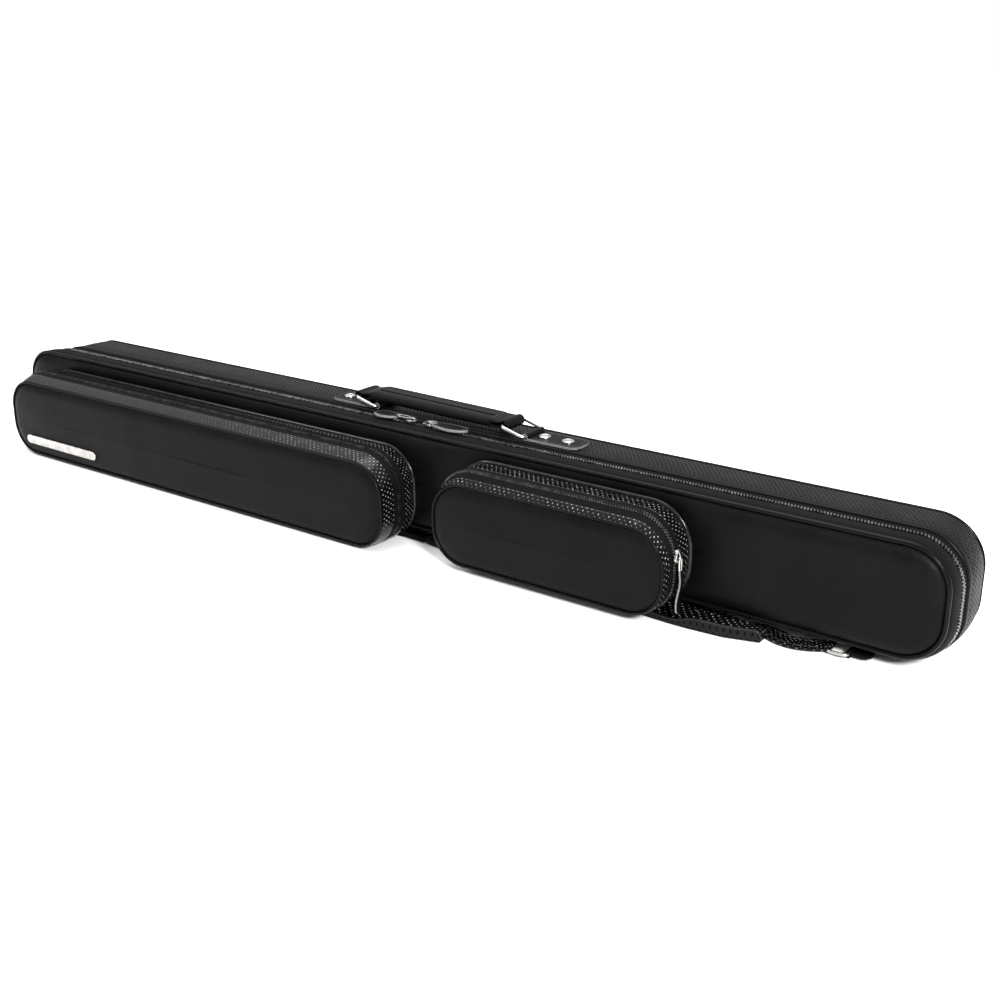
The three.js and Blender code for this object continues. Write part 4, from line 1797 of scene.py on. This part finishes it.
@dataclass
class Handle:
    """Carrying handle: padded roll with a flat strip behind it, two hoods, two rings and their tabs."""

    ring_x: Pair = (-31.0, 110.0)
    y: float = 39.9
    z: float = 89.4
    wire: float = 1.5
    ring_long: float = 20.0
    ring_wide: float = 28.0
    lean: float = 15.0
    hood_long: float = 14.0
    strap_half: float = 11.8
    rivet_z: float = 89.02
    roll_y: float = 33.9
    flap_y: float = 46.0
    step: Pair = field(init=False)

    def build(self) -> None:
        """Makes and dresses the handle's pieces."""
        lean = math.radians(self.lean)
        self.step = (self.ring_long * math.cos(lean), self.ring_long * math.sin(lean))
        left, right = self.ring_x
        for name, x, tail, rivets in (("left", left, -80.0, (("outer", -69.4), ("inner", -49.0))),
                                      ("right", right, 154.0, (("inner", 120.2), ("outer", 140.4)))):
            self.tab(name, x, tail)
            for place, at in rivets:
                self.rivet(name, place, at)
            self.ring(name, x)
            self.hood(name, x)
        self.roll()
        self.flap()

    def tab(self, name: str, bar_x: float, tail: float) -> None:
        """A strap end folded round the ring's lower bar, sewn round its edge.

        Args:
            name: left or right.
            bar_x: X of the ring's lower bar.
            tail: X of the end away from the ring.
        """
        path = fold_path(bar_x, self.z, 2.2, tail, 87.4, 88.32, self.y)
        reach = np.abs(path[:, 0] - tail)
        near = np.clip(1 - reach / 8.0, 0, 1)
        width = self.strap_half * (0.42 + 0.58 * np.sqrt(1 - near**2.2))
        thick = np.where(np.abs(path[:, 0] - bar_x) < 3.5, 0.42, 0.45)
        made = strap(f"handle_tab_leather_{name}", path, width, thick, 8.0, 32, edge_from=0.97)
        dress(made, "tray", Finish.LEATHER, Finish.EDGE, replaces=(f"handle_tab_{name}",))
        s = math.copysign(1.0, tail - bar_x)
        a, b = bar_x + s * 5.0, tail - s * 2.2
        turn = np.linspace(-math.pi / 2, math.pi / 2, 30)
        wide = self.strap_half - 1.9
        corner = 7.0
        xs = np.concatenate([[a], b - s * corner + s * corner * signed_power(np.cos(turn), 0.7), [a]])
        ys = np.concatenate([[-wide], wide * signed_power(np.sin(turn), 0.7), [wide]])
        line = np.stack([xs, self.y + ys, np.full(len(xs), 88.77)], -1)
        thread = stitches(f"handle_tab_stitches_{name}", line, upward(len(line)), 3.0, 2.1, 0.55)
        dress(thread, "tray", Finish.THREAD)

    def rivet(self, name: str, place: str, x: float) -> None:
        """A domed rivet with a rolled rim and a flat middle.

        Args:
            name: left or right.
            place: outer or inner.
            x: its middle.
        """
        dome = [(0.0, 0.92), (1.6, 0.92), (2.3, 0.82), (2.6, 0.60), (3.0, 0.60), (3.5, 0.86), (4.1, 0.82),
                (4.5, 0.5), (4.6, 0.0), (4.2, -0.25), (0.0, -0.25)]
        head = lathe(f"rivet_head_{name}_{place}", smooth_profile(dome, 40), x, self.y, self.rivet_z)
        dress(head, "tray", Finish.NICKEL, replaces=(f"rivet_{name}_{place}",))

    def ring(self, name: str, x: float) -> None:
        """Round wire bent to a rectangle with round corners, leaning on the case.

        Args:
            name: left or right.
            x: X of its lower bar.
        """
        half = self.ring_wide / 2
        rect = {"x0": 0, "x1": self.ring_long, "z0": -half, "z1": half, "r": 3.2}
        shape = SMALL_LOOP.points(rect, np.zeros(1))[0]
        lean = math.radians(self.lean)
        path = np.stack([x - shape[:, 0] * math.cos(lean), self.y + shape[:, 1],
                         self.z + shape[:, 0] * math.sin(lean)], -1)
        up = (math.sin(lean), 0.0, math.cos(lean))
        made = grid(f"handle_ring_wire_{name}", sweep(path, circle(self.wire, 16), up, True))
        dress(made, f"{name}_ring", Finish.NICKEL, replaces=(f"handle_ring_{name}",))

    def hood(self, name: str, x: float) -> None:
        """A thick padded loop round the ring's upper bar, closed behind it and sewn down.

        Args:
            name: left or right.
            x: X of the ring's lower bar.
        """
        bar_x, bar_z = x - self.step[0], self.z + self.step[1]
        s = 1.0 if name == "left" else -1.0
        tail = bar_x + s * self.hood_long
        rise = 0.9 if name == "left" else -0.5
        path = fold_path(bar_x, bar_z, 3.5, tail, bar_z - 1.6, bar_z + 2.2, self.y, 30)
        reach = np.clip(np.abs(path[:, 0] - tail) / self.hood_long, 0, 1)
        path[:, 2] += rise * (1 - reach)
        thick = 0.9 + 1.05 * (1 - reach) ** 1.2
        width = self.strap_half - 0.6 + 0.9 * np.sin(math.pi * np.clip(reach, 0, 1))
        dress(strap(f"handle_hood_{name}", path, width, thick, 3.6, 36), "handle", Finish.LEATHER,
              replaces=(f"handle_loop_{name}",))
        y = np.linspace(self.y - 10, self.y + 10, 20)
        line = np.stack([np.full(20, tail - s * 1.8), y, np.full(20, bar_z + 2.2 + rise + 1.88)], -1)
        thread = stitches(f"handle_hood_stitches_{name}", line, upward(20), 2.8, 1.9, 0.6)
        dress(thread, "handle", Finish.THREAD)

    def slope(self, count: int, inset: float) -> tuple[Array, Array, Array]:
        """Places along the grip, which falls a little towards the right.

        Args:
            count: how many places.
            inset: how far they reach into each hood.

        Returns:
            X, share of the way, and the height of the roll's middle.
        """
        x = np.linspace(self.ring_x[0] - self.step[0] + self.hood_long - inset,
                        self.ring_x[1] - self.step[0] - self.hood_long + inset, count)
        t = (x - x[0]) / (x[-1] - x[0])
        return x, t, 96.2 - 1.8 * t

    def roll(self) -> None:
        """Padded roll: an oval that narrows at both ends, creased where it bends, seamed behind."""
        x, t, z = self.slope(220, 3.4)
        ends = rounded_ends(x, x[0], x[-1], 4.0, 0.7)
        crease = 0.012 * np.sin(2 * math.pi * t * 9 + 0.6)
        swell = 1 + 0.04 * np.sin(math.pi * t) + crease * np.sin(math.pi * t)
        path = np.stack([x, np.full_like(x, self.roll_y), z], -1)
        made = strap("handle_roll_pad", path, 6.2 * ends * swell, 3.8 * ends * swell, 2.3, 48)
        dress(made, "handle", Finish.LEATHER, replaces=("handle_roll",), fill=0.8)
        line, out = flat_line(x[8], x[-9], 41.6, z[8:-8] + 3.55, len(x) - 16)
        dress(stitches("handle_roll_stitches", line, out, 2.9, 2.0, 0.5), "handle", Finish.THREAD)

    def flap(self) -> None:
        """Flat strip behind the roll at the height of its top, with a sewn edge."""
        x, _, z = self.slope(90, 3.0)
        path = np.stack([x, np.full_like(x, self.flap_y), z + 2.2], -1)
        ends = rounded_ends(x, x[0], x[-1], 3.0, 0.6)
        made = strap("handle_flap_leather", path, 6.2 * ends, 1.4 * (0.6 + 0.4 * ends), 4.5, 32)
        dress(made, "handle", Finish.LEATHER, replaces=("handle_flap",))
        line, out = flat_line(x[3], x[-4], 50.4, path[3:-3, 2] + 1.36, 84)
        dress(stitches("handle_flap_stitches", line, out, 2.9, 2.0, 0.55), "handle", Finish.THREAD)


@dataclass
class ShoulderStrap:
    """Shoulder strap folded away under the lid: pad, two webs, two rings and two sewn ends."""

    front: tuple[Pair, ...] = (
        (37, 1.5), (39, -1.0), (44, -2.8), (60, -4.5), (100, -8.8), (152, -14.2), (205, -16.8),
        (262, -19.4), (277, -19.2), (300, -17.4), (322, -10.9))
    back: tuple[Pair, ...] = (
        (37, 8.5), (39, 10.8), (44, 12.3), (60, 12.4), (262, 12.1), (277, 10.9), (300, 8.3), (322, 3.0))
    low: float = 4.0
    tall: float = 8.1
    round_off: float = 1.5
    bar: float = 376.0
    web_half: float = 6.4
    web_thick: float = 0.46
    ring_long: float = 14.0
    wire: float = 1.2
    y: float = 7.5
    z: float = 2.6

    def build(self) -> None:
        """Makes and dresses the strap's pieces."""
        self.pad()
        for name, side in (("left", -1.0), ("right", 1.0)):
            self.ring(name, side)
            self.web(name, side)
            self.chape(name, side)

    def sides(self, x: Array) -> tuple[Array, Array]:
        """Front and back edge of the pad at each X."""
        f, b = np.array(self.front, float).T, np.array(self.back, float).T
        return np.interp(x, *f), np.interp(x, *b)

    def pad(self) -> None:
        """Stuffed pad, thin under the pocket and tall at its free end.

        The section runs up the front, round a quarter circle, over the top, down to the low back part
        by smoothstep, and back underneath.
        """
        x = 37.3 + 284.4 * (0.5 - 0.5 * np.cos(np.linspace(0, math.pi, 260)))
        front, back = self.sides(x)
        relax(front, 10)
        relax(back, 10)
        tall = self.low + (self.tall - self.low) * smoothstep(np.clip((x - 262.0) / 17.0, 0, 1))
        tall = tall * (0.45 + 0.55 * rounded_ends(x, x[0], x[-1], 3.0, 0.0))
        r, arc = self.round_off, np.linspace(0, math.pi / 2, 7)
        up = np.linspace(0.02, 0.92, 6) * (tall - r)[:, None]
        turn_y, turn_z = r * (1 - np.cos(arc)), (tall - r)[:, None] + r * np.sin(arc)
        flat_y = front[:, None] + r + (back - front - 2 * r)[:, None] * np.linspace(0.04, 1, 26)
        fall = smoothstep(np.clip((flat_y + 3.5) / 3.5, 0, 1))
        least = np.minimum(tall, self.low)[:, None]
        flat_z = tall[:, None] * (1 - fall) + least * fall + 0.12 * ripple(x[:, None] + flat_y, flat_y, 40.0)
        under_y = back[:, None] + (front - back)[:, None] * np.linspace(0, 0.97, 8)
        y = np.concatenate([np.repeat(front[:, None], 6, 1), front[:, None] + turn_y, flat_y, under_y], 1)
        z = np.concatenate([0.2 + up, turn_z, flat_z, np.full_like(under_y, 0.2)], 1)
        points = np.stack([np.broadcast_to(x[:, None], y.shape), y, z], -1)
        bands = (np.arange(y.shape[1]) > 10).astype(int)
        made = grid("strap_pad_body", points, close_v=False, column_bands=bands)
        dress(made, "lid", Finish.RIBBED, Finish.PATENT, replaces=("strap_pad",), fill=0.5)
        self.piping(x, front, tall)

    def piping(self, x: Array, front: Array, tall: Array) -> None:
        """Cord along the pad's upper front edge and round its free end.

        Args:
            x: places along the pad.
            front: Y of the pad's front at each place.
            tall: height of the pad at each place.
        """
        edge = np.stack([x, front + 0.5, tall - 0.3], -1)[40:]
        corner = np.stack([np.full(14, x[-1]), np.linspace(front[-1] + 1.5, -1.5, 14),
                           np.full(14, self.tall * 0.5)], -1)
        path = np.concatenate([edge, corner])
        relax(path, 3)
        cord = grid("strap_pad_piping", sweep(path, circle(0.75, 12), (0, 0, 1), False), close_v=False)
        dress(cord, "lid", Finish.PATENT_PLAIN)

    def ring(self, name: str, side: float) -> None:
        """Small wire ring, bent to a rectangle with round corners.

        Args:
            name: left or right.
            side: -1 at the left, 1 at the right.
        """
        rect = {"x0": 0, "x1": self.ring_long, "z0": -8.5, "z1": 8.5, "r": 4.0}
        shape = SMALL_LOOP.points(rect, np.zeros(1))[0]
        line = np.stack([side * self.bar - side * shape[:, 0], self.y + shape[:, 1],
                         np.full(len(shape), self.z)], -1)
        made = grid(f"strap_ring_wire_{name}", sweep(line, circle(self.wire, 14), (0, 0, 1), True))
        dress(made, "lid", Finish.NICKEL, replaces=(f"strap_ring_{name}",))

    def bow(self, x: Array) -> Array:
        """How far the right web swings forward: -8 sin(pi (0.12 + 0.88 share)) between pad and ring."""
        share = np.clip((x - 322.0) / 38.0, 0, 1)
        return np.where(x > 0, -8.0 * np.sin(math.pi * (0.12 + 0.88 * share)), 0.0)

    def web(self, name: str, side: float) -> None:
        """Flat leather strap from the pad to the ring, folded round its bar.

        Args:
            name: left or right.
            side: -1 at the left, 1 at the right.
        """
        tail = 308.0 if side > 0 else 38.0
        path = fold_path(side * (self.bar - self.ring_long), self.z, 1.95, tail, 0.98, 2.04, self.y, 120)
        shift = self.bow(path[:, 0])
        path[:, 1] += shift
        made = strap(f"strap_web_leather_{name}", path, self.web_half - 0.15 * shift, self.web_thick, 7.0, 24)
        dress(made, "lid", Finish.PATENT if side > 0 else Finish.LEATHER, replaces=(f"strap_web_{name}",))
        ends = sorted((side * (self.bar - self.ring_long) - side * 4.0, tail))
        rows = []
        for aside in (-4.6, 4.6):
            line, out = flat_line(*ends, self.y + aside + self.bow(np.linspace(*ends, 200)), 2.5, 200)
            rows.append(stitches("row", line, out, 3.4, 2.3, 0.5))
        dress(join(f"strap_web_stitches_{name}", rows), "lid", Finish.THREAD)

    def chape(self, name: str, side: float) -> None:
        """Strap end folded round the ring and sewn under the lid.

        Args:
            name: left or right.
            side: -1 at the left, 1 at the right.
        """
        tail = side * (self.bar + 14.0)
        path = fold_path(side * self.bar, self.z, 1.95, tail, 2.94, 4.0, self.y, 40)
        near = np.clip(1 - np.abs(path[:, 0] - tail) / 5.0, 0, 1)
        width = self.web_half * (0.5 + 0.5 * np.sqrt(1 - near**2))
        made = strap(f"strap_chape_leather_{name}", path, width, self.web_thick, 7.0, 24)
        dress(made, "lid", Finish.LEATHER, replaces=(f"strap_chape_{name}",))


# ---- studio -----------------------------------------------------------------------------
@dataclass(frozen=True)
class Lamp:
    """A square soft light."""

    name: str
    at: Triple
    aim: Triple
    size: float
    power: float

    def build(self) -> None:
        """Makes the light and turns it to its aim."""
        lamp = bpy.data.lights.new(self.name, "AREA")
        lamp.size = self.size
        lamp.energy = self.power
        obj = bpy.data.objects.new(self.name, lamp)
        obj.location = self.at
        obj.rotation_euler = (Vector(self.aim) - Vector(self.at)).to_track_quat("-Z", "Y").to_euler()
        bpy.context.scene.collection.objects.link(obj)


LAMPS = (
    Lamp("overhead", (-0.2, 0.3, 1.9), (0.0, 0.0, 0.05), 1.5, 30.0),
    Lamp("left_front", (-1.25, -0.95, 1.15), (-0.1, 0.0, 0.05), 0.55, 11.0),
    Lamp("right_front", (1.28, -0.95, 0.88), (0.38, 0.0, 0.05), 0.26, 46.0),
)


@dataclass
class Studio:
    """White floor, white surroundings, soft lights and the camera."""

    place: Triple = (0.64066, -0.74844, 0.37943)
    azimuth: float = 35.85
    elevation: float = 19.94
    lens: float = 48.31
    around: float = 0.28
    above: float = 1.25
    behind: float = 0.35
    reach: float = 9000.0
    drop: float = 0.6

    def build(self) -> None:
        """Makes floor, light and camera."""
        self.floor()
        self.surroundings()
        for lamp in LAMPS:
            lamp.build()
        self.camera()

    def floor(self) -> None:
        """A wide white floor with a faint unevenness."""
        corners = np.array([(x * self.reach, y * self.reach, -self.drop)
                            for x, y in ((-1, -1), (1, -1), (1, 1), (-1, 1))])
        mesh = make_object("studio_floor", corners, np.array([(0, 1, 2, 3)]))
        t = Tree("floor_white")
        cloud = t.noise(900.0, 2.0)
        t.set(Base_Color=t.blend(cloud, (0.93, 0.93, 0.93), (0.96, 0.96, 0.96)), Roughness=0.7,
              Specular_IOR_Level=0.15)
        mesh.data.materials.append(t.material)

    def surroundings(self) -> None:
        """White to the camera; to the case, brighter above and behind than around."""
        world = bpy.data.worlds.new("studio_white")
        world.use_nodes = True
        nodes, links = world.node_tree.nodes, world.node_tree.links
        split = nodes.new("ShaderNodeSeparateXYZ")
        links.new(nodes.new("ShaderNodeTexCoord").outputs["Generated"], split.inputs[0])
        rows = []
        for axis, low, high, top in ((2, 0.15, 0.95, self.above), (1, -0.1, 0.9, self.behind)):
            step = nodes.new("ShaderNodeMapRange")
            step.interpolation_type = "SMOOTHSTEP"
            links.new(split.outputs[axis], step.inputs["Value"])
            for socket, number in zip(step.inputs[1:5], (low, high, 0.0, top)):
                socket.default_value = number
            rows.append(step.outputs["Result"])
        add, base, pick = (nodes.new("ShaderNodeMath") for _ in range(3))
        links.new(rows[0], add.inputs[0])
        links.new(rows[1], add.inputs[1])
        links.new(add.outputs[0], base.inputs[0])
        base.inputs[1].default_value = self.around
        pick.operation = "MAXIMUM"
        links.new(base.outputs[0], pick.inputs[0])
        links.new(nodes.new("ShaderNodeLightPath").outputs["Is Camera Ray"], pick.inputs[1])
        links.new(pick.outputs[0], nodes["Background"].inputs["Strength"])
        nodes["Background"].inputs["Color"].default_value = (1, 1, 1, 1)
        bpy.context.scene.world = world

    def camera(self) -> None:
        """Camera at its place, level, looking down at its elevation."""
        data = bpy.data.cameras.new("camera")
        data.lens, data.sensor_width, data.clip_start = self.lens, 36.0, 0.02
        obj = bpy.data.objects.new("camera", data)
        az, el = math.radians(self.azimuth), math.radians(self.elevation)
        ahead = Vector((-math.sin(az) * math.cos(el), math.cos(az) * math.cos(el), -math.sin(el)))
        obj.location = self.place
        obj.rotation_euler = ahead.to_track_quat("-Z", "Y").to_euler()
        bpy.context.scene.collection.objects.link(obj)
        bpy.context.scene.camera = obj


def pockets() -> list[Pocket]:
    """The large pocket at the left and the small one right of the middle.

    Returns:
        Both pockets.
    """
    return [
        Pocket("pocket_large", "large_cover", -42.3, -21.0, -1, 44.0,
               {"x0": -410.7, "x1": 30.5, "z0": 1.5, "z1": 69.0, "r": 27.0},
               {"x0": -417.0, "x1": 31.0, "z0": 0.0, "z1": 73.5, "r": 29.0},
               {"x0": -401.0, "x1": 30.0, "z0": 0.0, "z1": 71.5, "r": 28.0}),
        Pocket("pocket_small", "small_cover", -36.4, -23.6, 1, 51.0,
               {"x0": 73.0, "x1": 263.0, "z0": 6.0, "z1": 68.5, "r": 27.0},
               {"x0": 72.0, "x1": 265.0, "z0": 5.0, "z1": 76.0, "r": 30.0},
               {"x0": 74.0, "x1": 264.0, "z0": 5.0, "z1": 76.0, "r": 29.0}),
    ]


def dress_board() -> None:
    """Gives the lid's stiffening board its fibre finish."""
    board = frame["nodes"]["lid_board"]
    board.data.materials.clear()
    board.data.materials.append(material_of(Finish.BOARD))


def main() -> None:
    """Builds the case from its sub-assemblies, and then the studio."""
    logging.basicConfig(level=logging.INFO, format="%(message)s")
    made = pockets()
    large = made[0]
    assemblies = [Studio(), Tray(), CueBed(), Lid(made), *made,
                  NameBar(large.bar_rect()["x0"], large.front_y),
                  MainSlider("left", 14.0, -1, 13.0, 36.0), MainSlider("right", 30.0, 1, 6.0, 37.0),
                  Handle(), ShoulderStrap()]
    for assembly in assemblies:
        log.info("building %s", type(assembly).__name__)
        assembly.build()
    dress_board()
    bpy.context.scene.view_settings.view_transform = "Standard"


if __name__ == "__main__":
    main()
